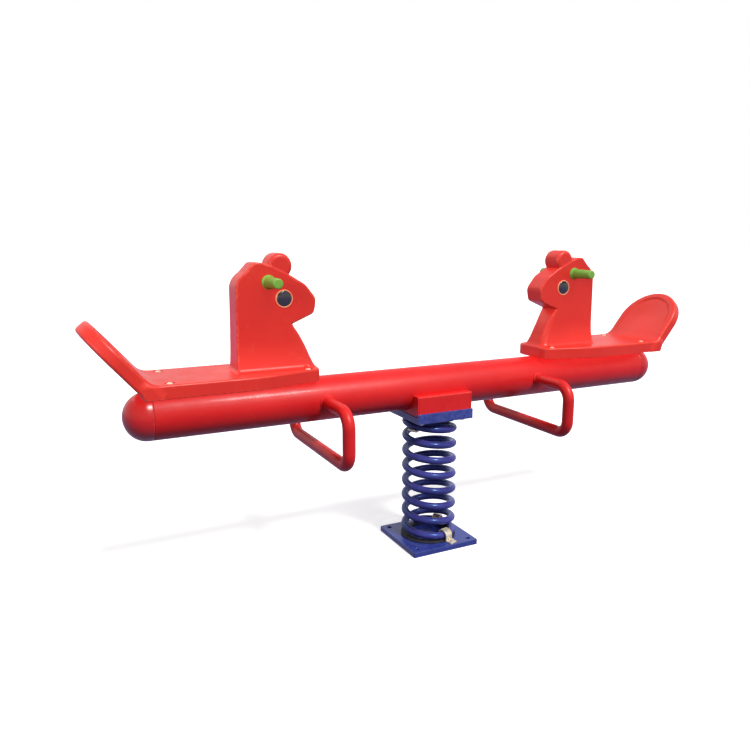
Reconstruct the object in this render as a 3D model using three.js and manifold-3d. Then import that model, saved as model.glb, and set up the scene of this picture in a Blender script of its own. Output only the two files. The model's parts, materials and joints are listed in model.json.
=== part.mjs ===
// Playground spring seesaw for two riders, in millimetres, +Z up.
// The origin is the centre of the base plate's underside and +X runs along the beam.
// A square base plate carries one heavy coil spring. The spring carries a top plate, a saddle
// and a round beam, and each end of the beam carries a moulded animal seat and a foot loop.

import * as THREE from 'three';
import { mergeVertices } from 'three/addons/utils/BufferGeometryUtils.js';
import Module from 'manifold-3d';

const wasm = await Module();
wasm.setup();

// ---------------------------------------------------------------- driving dimensions

const GAP = 0.3;
const HOLE_CLEARANCE = 0.8;

const BASE_SIDE = 250;
const BASE_THICK = 18;
const ANCHOR_OFFSET = 100;
const ANCHOR_RADIUS = 8;

const WIRE_RADIUS = 12;
const COIL_RADIUS = 81.5;
const COIL_TURNS = 8.3;
const COIL_START_ANGLE = THREE.MathUtils.degToRad(96.8);
const FLAT_TURNS = 0.35;
const EASE_TURNS = 0.3;

const RING_THICK = 6;
const RING_INNER = 70;
const RING_OUTER = 95;

const TOP_SIDE = 210;
const TOP_UNDERSIDE = 447;
const TOP_THICK = 23;
const TOP_LIP_Z = 480.5;
const TOP_LIP_THICK = 6;

const CLIP_THICK = 6;
const CLIP_WIDTH = 28;
const CLIP_CLEARANCE = 3;
const CLIP_FOOT = 27.5;
const CLIP_BOLT_OFFSET = 16;
const CLIP_HOOK_END = THREE.MathUtils.degToRad(150);
const CLIP_BOLT = { shank: 5, length: 18, head: 9.8, headHeight: 6.4 };
const LOWER_CLIP_ANGLES = [35, -75];
const UPPER_CLIP_ANGLES = [50, 125, 200];

const BEAM_RADIUS = 70;
const BEAM_WALL = 4;
const BEAM_AXIS_Z = 547;
const SEAM_X = 910;
const BEAM_END_X = 988;
const SPIGOT_LENGTH = 28;
const CAP_WALL = 4;
const CAP_COLLAR = 12;

const SADDLE_HALF_LENGTH = 97;
const SADDLE_HALF_WIDTH = 98.5;
const SADDLE_PLATE = 6;
const SADDLE_CHEEK = 7;
const SADDLE_TOP = 537;
const SADDLE_BOLT_X = 78;
const SADDLE_BOLT_Y = 78;
const SADDLE_BOLT = { shank: 6, length: 43, head: 10.4, headHeight: 7.5 };
const SADDLE_NUT_HEIGHT = 10;

const LOOP_X = 405;
const LOOP_TUBE_RADIUS = 19;
const LOOP_BORE_RADIUS = 16;
const LOOP_HALF_WIDTH = 229;
const LOOP_BAR_Z = 384;
const LOOP_TOP_BEND = 48;
const LOOP_LOW_BEND = 46;

const SEAT_Z = 656;
const SEAT_UNDERSIDE = 617.5;
const SEAT_HALF_WIDTH = 126;
const CHEST_HALF_WIDTH = 86;
const SEAT_FRONT_X = 424;
const SEAT_WALL = 6;
const CREASE_X = 918;
const BACK_ANGLE = THREE.MathUtils.degToRad(50);
const BACK_LENGTH = 222;
const BACK_THICK = 40;
const DISH = { alongRadius: 96, acrossRadius: 102, deepRadius: 60, depth: 13 };
const HEAD_HALF_WIDTH = 40;
const NECK_FOOT_HALF_WIDTH = 53;
const HEAD_WALL = 9;

const BAR_THICK = 8;
const BAR_WIDTH = 32;
const BAR_OVERHANG = 10;
const SEAT_BOLTS = { rear: { x: 870, y: 95 }, front: { x: 464, y: 66 } };
const SEAT_BOLT_RADIUS = 5;
const SEAT_BOLT_HEAD = 9.5;
const RECESS_RADIUS = 14;
const RECESS_DEPTH = 5;
const BOSS_RADIUS = 17;

const HANDLE_X = 570;
const HANDLE_Z = 913;
const HANDLE_RADIUS = 10;
const HANDLE_HALF_LENGTH = 126;
const GRIP_RADIUS = 15.5;
const GRIP_END_Y = 131;
const COLLAR_RADIUS = 21;

const EYE_X = 524;
const EYE_Z = 864;
const EYE_RADIUS = 26.5;
const EYE_THICK = 5;

// ---------------------------------------------------------------- materials

function paint(name, color, roughness, metalness) {
  const material = new THREE.MeshStandardMaterial({ color, roughness, metalness });
  material.name = name;
  return material;
}

const RED_PAINT = paint('red_paint', 0xe32f2b, 0.3, 0.1);
const CAP_PLASTIC = paint('red_cap_plastic', 0xd92a26, 0.4, 0.0);
const SEAT_PLASTIC = paint('red_seat_plastic', 0xe0442f, 0.42, 0.0);
const BLUE_PAINT = paint('blue_paint', 0x2c3f9a, 0.35, 0.15);
const SPRING_PAINT = paint('spring_paint', 0x38306e, 0.3, 0.2);
const DARK_RUBBER = paint('dark_rubber', 0x1c1b22, 0.8, 0.0);
const ZINC = paint('zinc', 0xb9b48f, 0.4, 0.9);
const GRIP_GREEN = paint('green_grip', 0x5fa63a, 0.5, 0.0);
const EYE_PLASTIC = paint('eye_plastic', 0x2a1e3c, 0.2, 0.0);

// ---------------------------------------------------------------- solid helpers

function toSolid(geometry) {
  const plain = geometry.index ? geometry.toNonIndexed() : geometry.clone();
  plain.deleteAttribute('normal');
  plain.deleteAttribute('uv');
  const merged = mergeVertices(plain, 1e-4);
  const vertProperties = new Float32Array(merged.attributes.position.array);
  const triVerts = new Uint32Array(merged.index.array);
  return new wasm.Manifold(new wasm.Mesh({ numProp: 3, vertProperties, triVerts }));
}

function toGeometry(solid) {
  const mesh = solid.getMesh();
  const geometry = new THREE.BufferGeometry();
  geometry.setAttribute('position', new THREE.BufferAttribute(mesh.vertProperties, 3));
  geometry.setIndex(new THREE.BufferAttribute(mesh.triVerts, 1));
  geometry.computeVertexNormals();
  return geometry;
}

function uprightCylinder(radius, low, high, sides, x = 0, y = 0) {
  const geometry = new THREE.CylinderGeometry(radius, radius, high - low, sides);
  geometry.rotateX(Math.PI / 2);
  geometry.translate(x, y, (low + high) / 2);
  return geometry;
}

function block(low, high) {
  const size = high.map((value, axis) => value - low[axis]);
  const geometry = new THREE.BoxGeometry(...size);
  geometry.translate(...high.map((value, axis) => (value + low[axis]) / 2));
  return geometry;
}

// A shape drawn as (y, z), extruded along X between two stations.
function extrudeAlongX(shape, low, high, curveSegments = 8) {
  const geometry = new THREE.ExtrudeGeometry(shape, {
    depth: high - low,
    bevelEnabled: false,
    curveSegments,
  });
  const turn = new THREE.Matrix4().makeBasis(
    new THREE.Vector3(0, 1, 0),
    new THREE.Vector3(0, 0, 1),
    new THREE.Vector3(1, 0, 0),
  );
  geometry.applyMatrix4(turn);
  geometry.translate(low, 0, 0);
  return geometry;
}

// A shape drawn as (x, z), extruded along Y to the same half width on both sides.
function extrudeAlongY(shape, halfWidth, curveSegments = 8) {
  const geometry = new THREE.ExtrudeGeometry(shape, {
    depth: 2 * halfWidth,
    bevelEnabled: false,
    curveSegments,
  });
  geometry.rotateX(Math.PI / 2);
  geometry.translate(0, halfWidth, 0);
  return geometry;
}

// A shape drawn as (x, y), extruded along Z between two heights.
function extrudeAlongZ(shape, low, high, curveSegments = 8) {
  const geometry = new THREE.ExtrudeGeometry(shape, {
    depth: high - low,
    bevelEnabled: false,
    curveSegments,
  });
  geometry.translate(0, 0, low);
  return geometry;
}

// A profile of [radius, height] points turned about the Z axis.
function lathe(profile, sides) {
  const points = profile.map(([radius, height]) => new THREE.Vector2(radius, height));
  const geometry = new THREE.LatheGeometry(points, sides);
  geometry.rotateX(Math.PI / 2);
  return geometry;
}

function squarePlate(side, low, high, holes) {
  let solid = toSolid(block([-side / 2, -side / 2, low], [side / 2, side / 2, high]));
  for (const { x, y, radius } of holes) {
    solid = solid.subtract(toSolid(uprightCylinder(radius, low - 1, high + 1, 8, x, y)));
  }
  return toGeometry(solid);
}

function polar(radius, degrees) {
  const angle = THREE.MathUtils.degToRad(degrees);
  return { x: radius * Math.cos(angle), y: radius * Math.sin(angle) };
}

// ---------------------------------------------------------------- base, rings and spring

const LOWER_RING_TOP = BASE_THICK + GAP + RING_THICK;
const UPPER_RING_LOW = TOP_UNDERSIDE - GAP - RING_THICK;
const COIL_LOW_Z = LOWER_RING_TOP + GAP + WIRE_RADIUS;
const COIL_HIGH_Z = UPPER_RING_LOW - GAP - WIRE_RADIUS;
const LOST_TURNS = FLAT_TURNS + EASE_TURNS / 2;
const COIL_PITCH = (COIL_HIGH_Z - COIL_LOW_Z) / (COIL_TURNS - 2 * LOST_TURNS);

// Rise of the wire's centre line above its flat end, counted in turns from that end.
function riseFromEnd(turns) {
  if (turns < FLAT_TURNS) return 0;
  if (turns < FLAT_TURNS + EASE_TURNS) return (COIL_PITCH * (turns - FLAT_TURNS) ** 2) / (2 * EASE_TURNS);
  return COIL_PITCH * (turns - LOST_TURNS);
}

function coilHeight(turns) {
  if (turns < COIL_TURNS / 2) return COIL_LOW_Z + riseFromEnd(turns);
  return COIL_HIGH_Z - riseFromEnd(COIL_TURNS - turns);
}

class CoilCurve extends THREE.Curve {
  getPoint(t, target = new THREE.Vector3()) {
    const turns = t * COIL_TURNS;
    const angle = COIL_START_ANGLE - 2 * Math.PI * turns;
    return target.set(COIL_RADIUS * Math.cos(angle), COIL_RADIUS * Math.sin(angle), coilHeight(turns));
  }
}

function springGeometry() {
  const section = new THREE.Shape();
  section.absarc(0, 0, WIRE_RADIUS, 0, 2 * Math.PI, false);
  return new THREE.ExtrudeGeometry(section, {
    steps: Math.round(COIL_TURNS * 16),
    curveSegments: 4,
    bevelEnabled: false,
    extrudePath: new CoilCurve(),
  });
}

function ringGeometry(low) {
  const ring = lathe([
    [RING_INNER, 0],
    [RING_OUTER, 0],
    [RING_OUTER, RING_THICK],
    [RING_INNER, RING_THICK],
    [RING_INNER, 0],
  ], 28);
  ring.translate(0, 0, low);
  return ring;
}

function clipBoltRadius(outward) {
  const reach = WIRE_RADIUS + CLIP_CLEARANCE + CLIP_BOLT_OFFSET;
  return outward ? COIL_RADIUS + reach : COIL_RADIUS - reach;
}

function basePlateGeometry() {
  const holes = [];
  for (const x of [-ANCHOR_OFFSET, ANCHOR_OFFSET]) {
    for (const y of [-ANCHOR_OFFSET, ANCHOR_OFFSET]) {
      holes.push({ x, y, radius: ANCHOR_RADIUS });
    }
  }
  for (const angle of LOWER_CLIP_ANGLES) {
    holes.push({ ...polar(clipBoltRadius(true), angle), radius: CLIP_BOLT.shank + HOLE_CLEARANCE });
  }
  return squarePlate(BASE_SIDE, 0, BASE_THICK, holes);
}

function saddleBoltPlaces() {
  const places = [];
  for (const x of [-SADDLE_BOLT_X, SADDLE_BOLT_X]) {
    for (const y of [-SADDLE_BOLT_Y, SADDLE_BOLT_Y]) {
      places.push({ x, y });
    }
  }
  return places;
}

// A flat plate with a low upturned edge along the front and the back, which the saddle sits between.
function topPlateGeometry() {
  const holes = saddleBoltPlaces().map((place) => ({ ...place, radius: SADDLE_BOLT.shank + HOLE_CLEARANCE }));
  for (const angle of UPPER_CLIP_ANGLES) {
    holes.push({ ...polar(clipBoltRadius(false), angle), radius: CLIP_BOLT.shank + HOLE_CLEARANCE });
  }
  let solid = toSolid(squarePlate(TOP_SIDE, TOP_UNDERSIDE, TOP_UNDERSIDE + TOP_THICK, holes));
  const edge = TOP_SIDE / 2;
  for (const side of [-1, 1]) {
    const inner = side * (edge - TOP_LIP_THICK);
    const outer = side * edge;
    const low = [-edge, Math.min(inner, outer), TOP_UNDERSIDE];
    solid = solid.add(toSolid(block(low, [edge, Math.max(inner, outer), TOP_LIP_Z])));
  }
  return toGeometry(solid);
}

// ---------------------------------------------------------------- clips and bolts

// A bent strap that hooks over the wire. It is drawn standing on a plate at height 0, with the wire
// at the given height, its foot pointing along +X and the coil's axis along -X.
function clipShape(wireHeight) {
  const inner = WIRE_RADIUS + CLIP_CLEARANCE;
  const outer = inner + CLIP_THICK;
  const shape = new THREE.Shape();
  shape.moveTo(inner, 0);
  shape.lineTo(inner + CLIP_FOOT, 0);
  shape.lineTo(inner + CLIP_FOOT, CLIP_THICK);
  shape.lineTo(outer, CLIP_THICK);
  shape.lineTo(outer, wireHeight);
  shape.absarc(0, wireHeight, outer, 0, CLIP_HOOK_END, false);
  shape.lineTo(inner * Math.cos(CLIP_HOOK_END), wireHeight + inner * Math.sin(CLIP_HOOK_END));
  shape.absarc(0, wireHeight, inner, CLIP_HOOK_END, 0, true);
  shape.closePath();
  return shape;
}

function clipGeometry(wireHeight) {
  const solid = toSolid(extrudeAlongY(clipShape(wireHeight), CLIP_WIDTH / 2, 5));
  const boltX = WIRE_RADIUS + CLIP_CLEARANCE + CLIP_BOLT_OFFSET;
  const hole = uprightCylinder(CLIP_BOLT.shank + HOLE_CLEARANCE, -1, CLIP_THICK + 1, 8, boltX);
  return toGeometry(solid.subtract(toSolid(hole)));
}

// A hex head sitting on height 0 with its shank reaching down.
function hexBoltGeometry(size) {
  const head = toSolid(uprightCylinder(size.head, 0, size.headHeight, 6));
  const shank = toSolid(uprightCylinder(size.shank, -size.length, size.headHeight / 2, 8));
  return toGeometry(head.add(shank));
}

function saddleNutGeometry() {
  const body = toSolid(uprightCylinder(SADDLE_BOLT.head, 0, SADDLE_NUT_HEIGHT, 6));
  const hole = uprightCylinder(SADDLE_BOLT.shank + HOLE_CLEARANCE, -1, SADDLE_NUT_HEIGHT + 1, 8);
  return toGeometry(body.subtract(toSolid(hole)));
}

// One clip with its bolt. The lower clips' feet point away from the coil and the upper ones' into it.
function clipPair(position, angle, lower, turns) {
  const plateZ = lower ? BASE_THICK + GAP : TOP_UNDERSIDE - GAP;
  const wireHeight = Math.abs(coilHeight(turns) - plateZ);
  const frame = new THREE.Group();
  frame.rotation.z = THREE.MathUtils.degToRad(angle);
  const stand = new THREE.Group();
  stand.position.set(COIL_RADIUS, 0, plateZ);
  if (!lower) stand.rotation.y = Math.PI;
  const end = lower ? 'lower' : 'upper';
  stand.add(named(`${end}_spring_clip_${position}`, clipGeometry(wireHeight), ZINC));
  const bolt = named(`${end}_clip_bolt_${position}`, hexBoltGeometry(CLIP_BOLT), ZINC);
  bolt.position.set(WIRE_RADIUS + CLIP_CLEARANCE + CLIP_BOLT_OFFSET, 0, CLIP_THICK + GAP);
  stand.add(bolt);
  frame.add(stand);
  return frame;
}

// Turns from the lower tip at which the coil first passes an angle, or last passes it near the top.
function turnsAtAngle(degrees, nearTop) {
  const angle = THREE.MathUtils.degToRad(degrees);
  const first = THREE.MathUtils.euclideanModulo((COIL_START_ANGLE - angle) / (2 * Math.PI), 1);
  return nearTop ? first + Math.floor(COIL_TURNS - first) : first;
}

// ---------------------------------------------------------------- saddle and beam

// The beam's outside with its gap, for cutting what the beam lies in.
function beamCutter() {
  const tube = new THREE.CylinderGeometry(BEAM_RADIUS + GAP, BEAM_RADIUS + GAP, 400, 48);
  tube.rotateZ(Math.PI / 2);
  tube.translate(0, 0, BEAM_AXIS_Z);
  return toSolid(tube);
}

// A box open at both ends. Its cheeks stand away from the beam and fold in to it at the top.
function saddleChannelGeometry() {
  const low = TOP_UNDERSIDE + TOP_THICK + GAP;
  const outer = SADDLE_HALF_WIDTH;
  const inner = outer - SADDLE_CHEEK;
  const lip = SADDLE_TOP - SADDLE_CHEEK;
  const mouth = BEAM_RADIUS - 10;
  const shape = new THREE.Shape();
  shape.moveTo(-outer, low);
  shape.lineTo(outer, low);
  shape.lineTo(outer, SADDLE_TOP);
  shape.lineTo(mouth, SADDLE_TOP);
  shape.lineTo(mouth, lip);
  shape.lineTo(inner, lip);
  shape.lineTo(inner, low + SADDLE_PLATE);
  shape.lineTo(-inner, low + SADDLE_PLATE);
  shape.lineTo(-inner, lip);
  shape.lineTo(-mouth, lip);
  shape.lineTo(-mouth, SADDLE_TOP);
  shape.lineTo(-outer, SADDLE_TOP);
  shape.closePath();
  let solid = toSolid(extrudeAlongX(shape, -SADDLE_HALF_LENGTH, SADDLE_HALF_LENGTH));
  solid = solid.subtract(beamCutter());
  for (const { x, y } of saddleBoltPlaces()) {
    const radius = SADDLE_BOLT.shank + HOLE_CLEARANCE;
    const hole = uprightCylinder(radius, low - 1, low + SADDLE_PLATE + 1, 8, x, y);
    solid = solid.subtract(toSolid(hole));
  }
  return toGeometry(solid);
}

function saddleEndGeometry() {
  const low = TOP_UNDERSIDE + TOP_THICK + GAP;
  const halfWidth = SADDLE_HALF_WIDTH;
  const start = SADDLE_HALF_LENGTH + GAP;
  const plate = toSolid(block([start, -halfWidth, low], [start + SADDLE_PLATE, halfWidth, SADDLE_TOP]));
  return toGeometry(plate.subtract(beamCutter()));
}

function beamTubeGeometry() {
  const ring = new THREE.Shape();
  ring.absarc(0, BEAM_AXIS_Z, BEAM_RADIUS, 0, 2 * Math.PI, false);
  const bore = new THREE.Path();
  bore.absarc(0, BEAM_AXIS_Z, BEAM_RADIUS - BEAM_WALL, 0, 2 * Math.PI, true);
  ring.holes.push(bore);
  return extrudeAlongX(ring, -SEAM_X, SEAM_X, 24);
}

// A hollow domed plug: a spigot that enters the tube and a round nose.
function endCapGeometry() {
  const noseLength = BEAM_END_X - SEAM_X - GAP;
  const spigotRadius = BEAM_RADIUS - BEAM_WALL - GAP;
  const domeLength = noseLength - CAP_COLLAR;
  const outline = [];
  for (let step = 0; step <= 5; step += 1) {
    const angle = (Math.PI / 2) * (step / 5);
    outline.push([BEAM_RADIUS * Math.sin(angle), CAP_COLLAR + domeLength * Math.cos(angle)]);
  }
  outline[0][0] = 0;
  outline.push([BEAM_RADIUS, 0]);
  outline.push([spigotRadius, 0]);
  outline.push([spigotRadius, -SPIGOT_LENGTH]);
  outline.push([spigotRadius - CAP_WALL, -SPIGOT_LENGTH]);
  for (let step = 4; step >= 0; step -= 1) {
    const angle = (Math.PI / 2) * (step / 4);
    const radius = (spigotRadius - CAP_WALL) * Math.sin(angle);
    outline.push([radius, CAP_COLLAR + (domeLength - CAP_WALL) * Math.cos(angle)]);
  }
  outline[outline.length - 1][0] = 0;
  const geometry = lathe(outline.reverse(), 28);
  geometry.rotateY(Math.PI / 2);
  geometry.translate(SEAM_X + GAP, 0, BEAM_AXIS_Z);
  return geometry;
}

// ---------------------------------------------------------------- foot loops

function loopPath(inset) {
  const side = (sign) => ({
    root: new THREE.Vector3(0, sign * inset, BEAM_AXIS_Z),
    arm: new THREE.Vector3(0, sign * (LOOP_HALF_WIDTH - LOOP_TOP_BEND), BEAM_AXIS_Z),
    shoulder: new THREE.Vector3(0, sign * LOOP_HALF_WIDTH, BEAM_AXIS_Z),
    legTop: new THREE.Vector3(0, sign * LOOP_HALF_WIDTH, BEAM_AXIS_Z - LOOP_TOP_BEND),
    legLow: new THREE.Vector3(0, sign * LOOP_HALF_WIDTH, LOOP_BAR_Z + LOOP_LOW_BEND),
    corner: new THREE.Vector3(0, sign * LOOP_HALF_WIDTH, LOOP_BAR_Z),
    bar: new THREE.Vector3(0, sign * (LOOP_HALF_WIDTH - LOOP_LOW_BEND), LOOP_BAR_Z),
  });
  const near = side(-1);
  const far = side(1);
  return [near, far];
}

// Quarter bend between two straights, as points on a circle's arc.
function bend(from, corner, to, count) {
  const centre = from.clone().add(to).sub(corner);
  const points = [];
  for (let step = 1; step < count; step += 1) {
    const angle = (Math.PI / 2) * (step / count);
    const toward = from.clone().sub(centre).multiplyScalar(Math.cos(angle));
    const across = to.clone().sub(centre).multiplyScalar(Math.sin(angle));
    points.push(centre.clone().add(toward).add(across));
  }
  return points;
}

class Polyline extends THREE.Curve {
  constructor(points) {
    super();
    this.points = points;
  }

  getPoint(t, target = new THREE.Vector3()) {
    const last = this.points.length - 1;
    const place = Math.min(t * last, last);
    const index = Math.min(Math.floor(place), last - 1);
    return target.copy(this.points[index]).lerp(this.points[index + 1], place - index);
  }

  getPointAt(t, target) {
    return this.getPoint(t, target);
  }

  // The direction at a corner is the average of the two straights that meet there.
  getTangent(t, target = new THREE.Vector3()) {
    const last = this.points.length - 1;
    const index = Math.round(t * last);
    const before = this.points[Math.max(index - 1, 0)];
    const after = this.points[Math.min(index + 1, last)];
    return target.copy(after).sub(before).normalize();
  }

  getTangentAt(t, target) {
    return this.getTangent(t, target);
  }
}

function loopTube(radius, sides, bendSteps, inset) {
  const [near, far] = loopPath(inset);
  const points = [
    near.root,
    near.arm,
    ...bend(near.arm, near.shoulder, near.legTop, bendSteps),
    near.legTop,
    near.legLow,
    ...bend(near.legLow, near.corner, near.bar, bendSteps),
    near.bar,
    far.bar,
    ...bend(far.bar, far.corner, far.legLow, bendSteps),
    far.legLow,
    far.legTop,
    ...bend(far.legTop, far.shoulder, far.arm, bendSteps),
    far.arm,
    far.root,
  ];
  const section = new THREE.Shape();
  section.absarc(0, 0, radius, 0, 2 * Math.PI, false);
  return new THREE.ExtrudeGeometry(section, {
    steps: points.length - 1,
    curveSegments: sides / 2,
    bevelEnabled: false,
    extrudePath: new Polyline(points),
  });
}

function footLoopGeometry() {
  const outer = toSolid(loopTube(LOOP_TUBE_RADIUS, 12, 4, BEAM_RADIUS - 12));
  const bore = toSolid(loopTube(LOOP_BORE_RADIUS, 8, 2, BEAM_RADIUS - 16));
  const beam = new THREE.CylinderGeometry(BEAM_RADIUS + GAP, BEAM_RADIUS + GAP, 200, 48);
  beam.rotateZ(Math.PI / 2);
  beam.translate(0, 0, BEAM_AXIS_Z);
  const geometry = toGeometry(outer.subtract(bore).subtract(toSolid(beam)));
  geometry.translate(LOOP_X, 0, 0);
  return geometry;
}

// ---------------------------------------------------------------- moulded seat

function crossBarGeometry({ x, y }) {
  const low = BEAM_AXIS_Z + BEAM_RADIUS + GAP;
  const reach = y + BAR_OVERHANG;
  const bar = block([x - BAR_WIDTH / 2, -reach, low], [x + BAR_WIDTH / 2, reach, low + BAR_THICK]);
  let solid = toSolid(bar);
  const radius = SEAT_BOLT_RADIUS + HOLE_CLEARANCE;
  for (const side of [-y, y]) {
    const hole = uprightCylinder(radius, low - 1, low + BAR_THICK + 1, 10, x, side);
    solid = solid.subtract(toSolid(hole));
  }
  return toGeometry(solid);
}

// Plan outline of the seat slab, drawn as (x, y): wide under the rider, narrower under the chest.
function slabShape(inset, rearX) {
  const wide = SEAT_HALF_WIDTH - inset;
  const narrow = CHEST_HALF_WIDTH - inset;
  const front = SEAT_FRONT_X + inset;
  const shape = new THREE.Shape();
  shape.moveTo(rearX, -wide);
  shape.lineTo(rearX, wide);
  shape.lineTo(650, wide);
  shape.bezierCurveTo(590, wide, 520, narrow + 12, 455, narrow);
  shape.quadraticCurveTo(front, narrow - 6, front, narrow - 36);
  shape.lineTo(front, 36 - narrow);
  shape.quadraticCurveTo(front, 6 - narrow, 455, -narrow);
  shape.bezierCurveTo(520, -narrow - 12, 590, -wide, 650, -wide);
  shape.closePath();
  return shape;
}

// Side outline of the animal's neck and head, drawn as (x, z): crown bump, blunt muzzle, chest.
function headShape(inset) {
  const bump = { x: 531, z: 958, radius: 37 - inset };
  const from = THREE.MathUtils.degToRad(15);
  const to = THREE.MathUtils.degToRad(205);
  const shape = new THREE.Shape();
  shape.moveTo(670 - inset, SEAT_Z - 14);
  shape.lineTo(666 - inset, 895);
  shape.quadraticCurveTo(665 - inset, 925 - inset, 638 - inset, 942 - inset);
  shape.lineTo(612 - inset / 2, 968 - inset);
  shape.quadraticCurveTo(592, 976 - inset, bump.x + bump.radius * Math.cos(from), 968 - inset);
  shape.absarc(bump.x, bump.z, bump.radius, from, to, false);
  shape.lineTo(491 + inset, 928 - inset);
  shape.lineTo(450 + inset, 900 - inset);
  shape.quadraticCurveTo(424 + inset, 884 - inset, 421 + inset, 858);
  shape.lineTo(430 + inset, 822 + inset);
  shape.quadraticCurveTo(433 + inset, 812 + inset, 446 + inset, 810 + inset);
  shape.lineTo(490 + inset, 794 + inset);
  shape.quadraticCurveTo(500 + inset, 788, 493 + inset, 772);
  shape.quadraticCurveTo(458 + inset, 738, 446 + inset, 695);
  shape.lineTo(432 + inset, 662);
  shape.lineTo(430 + inset, SEAT_Z - 14);
  shape.closePath();
  return shape;
}

// Front outline of the neck and head, drawn as (y, z): the neck flares where it meets the seat.
function neckFlareShape(inset) {
  const top = 1010;
  const neck = HEAD_HALF_WIDTH - inset;
  const foot = NECK_FOOT_HALF_WIDTH - inset;
  const shape = new THREE.Shape();
  shape.moveTo(-foot, SEAT_Z - 14);
  shape.lineTo(foot, SEAT_Z - 14);
  shape.lineTo(foot, SEAT_Z);
  shape.quadraticCurveTo(neck + 4, SEAT_Z + 14, neck, SEAT_Z + 84);
  shape.lineTo(neck, top);
  shape.lineTo(-neck, top);
  shape.lineTo(-neck, SEAT_Z + 84);
  shape.quadraticCurveTo(-neck - 4, SEAT_Z + 14, -foot, SEAT_Z);
  shape.closePath();
  return shape;
}

function headSolid(inset) {
  const side = toSolid(extrudeAlongY(headShape(inset), 90, 5));
  const front = toSolid(extrudeAlongX(neckFlareShape(inset), 380, 720, 4));
  return side.intersect(front);
}

// A round-topped plate that leans back from the crease, drawn as (y, distance up the back).
function backrestSolid() {
  const radius = SEAT_HALF_WIDTH - 1;
  const straight = BACK_LENGTH - SEAT_HALF_WIDTH + 1;
  const shape = new THREE.Shape();
  shape.moveTo(-radius, -60);
  shape.lineTo(radius, -60);
  shape.lineTo(radius, straight);
  shape.absarc(0, straight, radius, 0, Math.PI, false);
  shape.closePath();
  const geometry = new THREE.ExtrudeGeometry(shape, {
    depth: BACK_THICK,
    bevelEnabled: false,
    curveSegments: 14,
  });
  const along = new THREE.Vector3(Math.cos(BACK_ANGLE), 0, Math.sin(BACK_ANGLE));
  const across = new THREE.Vector3(0, 1, 0);
  const outward = across.clone().cross(along);
  const lean = new THREE.Matrix4().makeBasis(across, along, outward);
  geometry.applyMatrix4(lean.setPosition(CREASE_X, 0, SEAT_Z));
  const below = block([700, -200, 300], [1300, 200, SEAT_UNDERSIDE]);
  const ahead = block([700, -200, 300], [CREASE_X - 20, 200, 1200]);
  return toSolid(geometry).subtract(toSolid(below)).subtract(toSolid(ahead));
}

// The shallow bowl pressed into the backrest's face.
function dishSolid() {
  const bowl = new THREE.SphereGeometry(1, 20, 10);
  bowl.scale(DISH.alongRadius, DISH.acrossRadius, DISH.deepRadius);
  const outward = new THREE.Vector3(Math.sin(BACK_ANGLE), 0, -Math.cos(BACK_ANGLE));
  const along = new THREE.Vector3(Math.cos(BACK_ANGLE), 0, Math.sin(BACK_ANGLE));
  bowl.rotateY(-BACK_ANGLE);
  const centre = new THREE.Vector3(CREASE_X, 0, SEAT_Z);
  centre.addScaledVector(along, BACK_LENGTH - SEAT_HALF_WIDTH + 4);
  centre.addScaledVector(outward, DISH.depth - DISH.deepRadius);
  bowl.translate(centre.x, centre.y, centre.z);
  return toSolid(bowl);
}

function seatBoltPlaces() {
  const places = [];
  for (const [row, { x, y }] of Object.entries(SEAT_BOLTS)) {
    places.push({ row, hand: 'a', x, y: -y });
    places.push({ row, hand: 'b', x, y });
  }
  return places;
}

function seatGeometry() {
  const ceiling = SEAT_Z - SEAT_WALL;
  const slab = toSolid(extrudeAlongZ(slabShape(0, CREASE_X + 18), SEAT_UNDERSIDE, SEAT_Z, 6));
  const hollow = toSolid(extrudeAlongZ(slabShape(SEAT_WALL, CREASE_X - 4), SEAT_UNDERSIDE - 5, ceiling, 6));
  const outer = slab.add(backrestSolid()).subtract(dishSolid()).add(headSolid(0));
  let solid = outer.subtract(hollow).subtract(headSolid(HEAD_WALL));
  const barTop = BEAM_AXIS_Z + BEAM_RADIUS + GAP + BAR_THICK;
  for (const { x, y } of seatBoltPlaces()) {
    const boss = uprightCylinder(BOSS_RADIUS, barTop + GAP, ceiling + 1, 10, x, y);
    solid = solid.add(toSolid(boss));
  }
  const holeRadius = SEAT_BOLT_RADIUS + HOLE_CLEARANCE;
  for (const { x, y } of seatBoltPlaces()) {
    const hole = uprightCylinder(holeRadius, SEAT_UNDERSIDE - 1, SEAT_Z + 1, 10, x, y);
    const recess = uprightCylinder(RECESS_RADIUS, SEAT_Z - RECESS_DEPTH, SEAT_Z + 1, 12, x, y);
    solid = solid.subtract(toSolid(hole)).subtract(toSolid(recess));
  }
  const boreRadius = HANDLE_RADIUS + HOLE_CLEARANCE;
  const bore = new THREE.CylinderGeometry(boreRadius, boreRadius, 200, 16);
  bore.translate(HANDLE_X, 0, HANDLE_Z);
  return toGeometry(solid.subtract(toSolid(bore)));
}

function seatBoltGeometry() {
  const headLow = SEAT_Z - RECESS_DEPTH + GAP;
  const shankLow = BEAM_AXIS_Z + BEAM_RADIUS + 1;
  const outline = [
    [0, shankLow],
    [SEAT_BOLT_RADIUS, shankLow],
    [SEAT_BOLT_RADIUS, headLow],
    [SEAT_BOLT_HEAD, headLow],
    [SEAT_BOLT_HEAD, headLow + 2],
    [SEAT_BOLT_HEAD * 0.75, headLow + 5],
    [0, headLow + 6.5],
  ];
  return lathe(outline, 10);
}

// ---------------------------------------------------------------- handlebar, grips and eyes

function handlebarGeometry() {
  const bar = new THREE.CylinderGeometry(HANDLE_RADIUS, HANDLE_RADIUS, 2 * HANDLE_HALF_LENGTH, 16);
  bar.translate(HANDLE_X, 0, HANDLE_Z);
  return bar;
}

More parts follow.
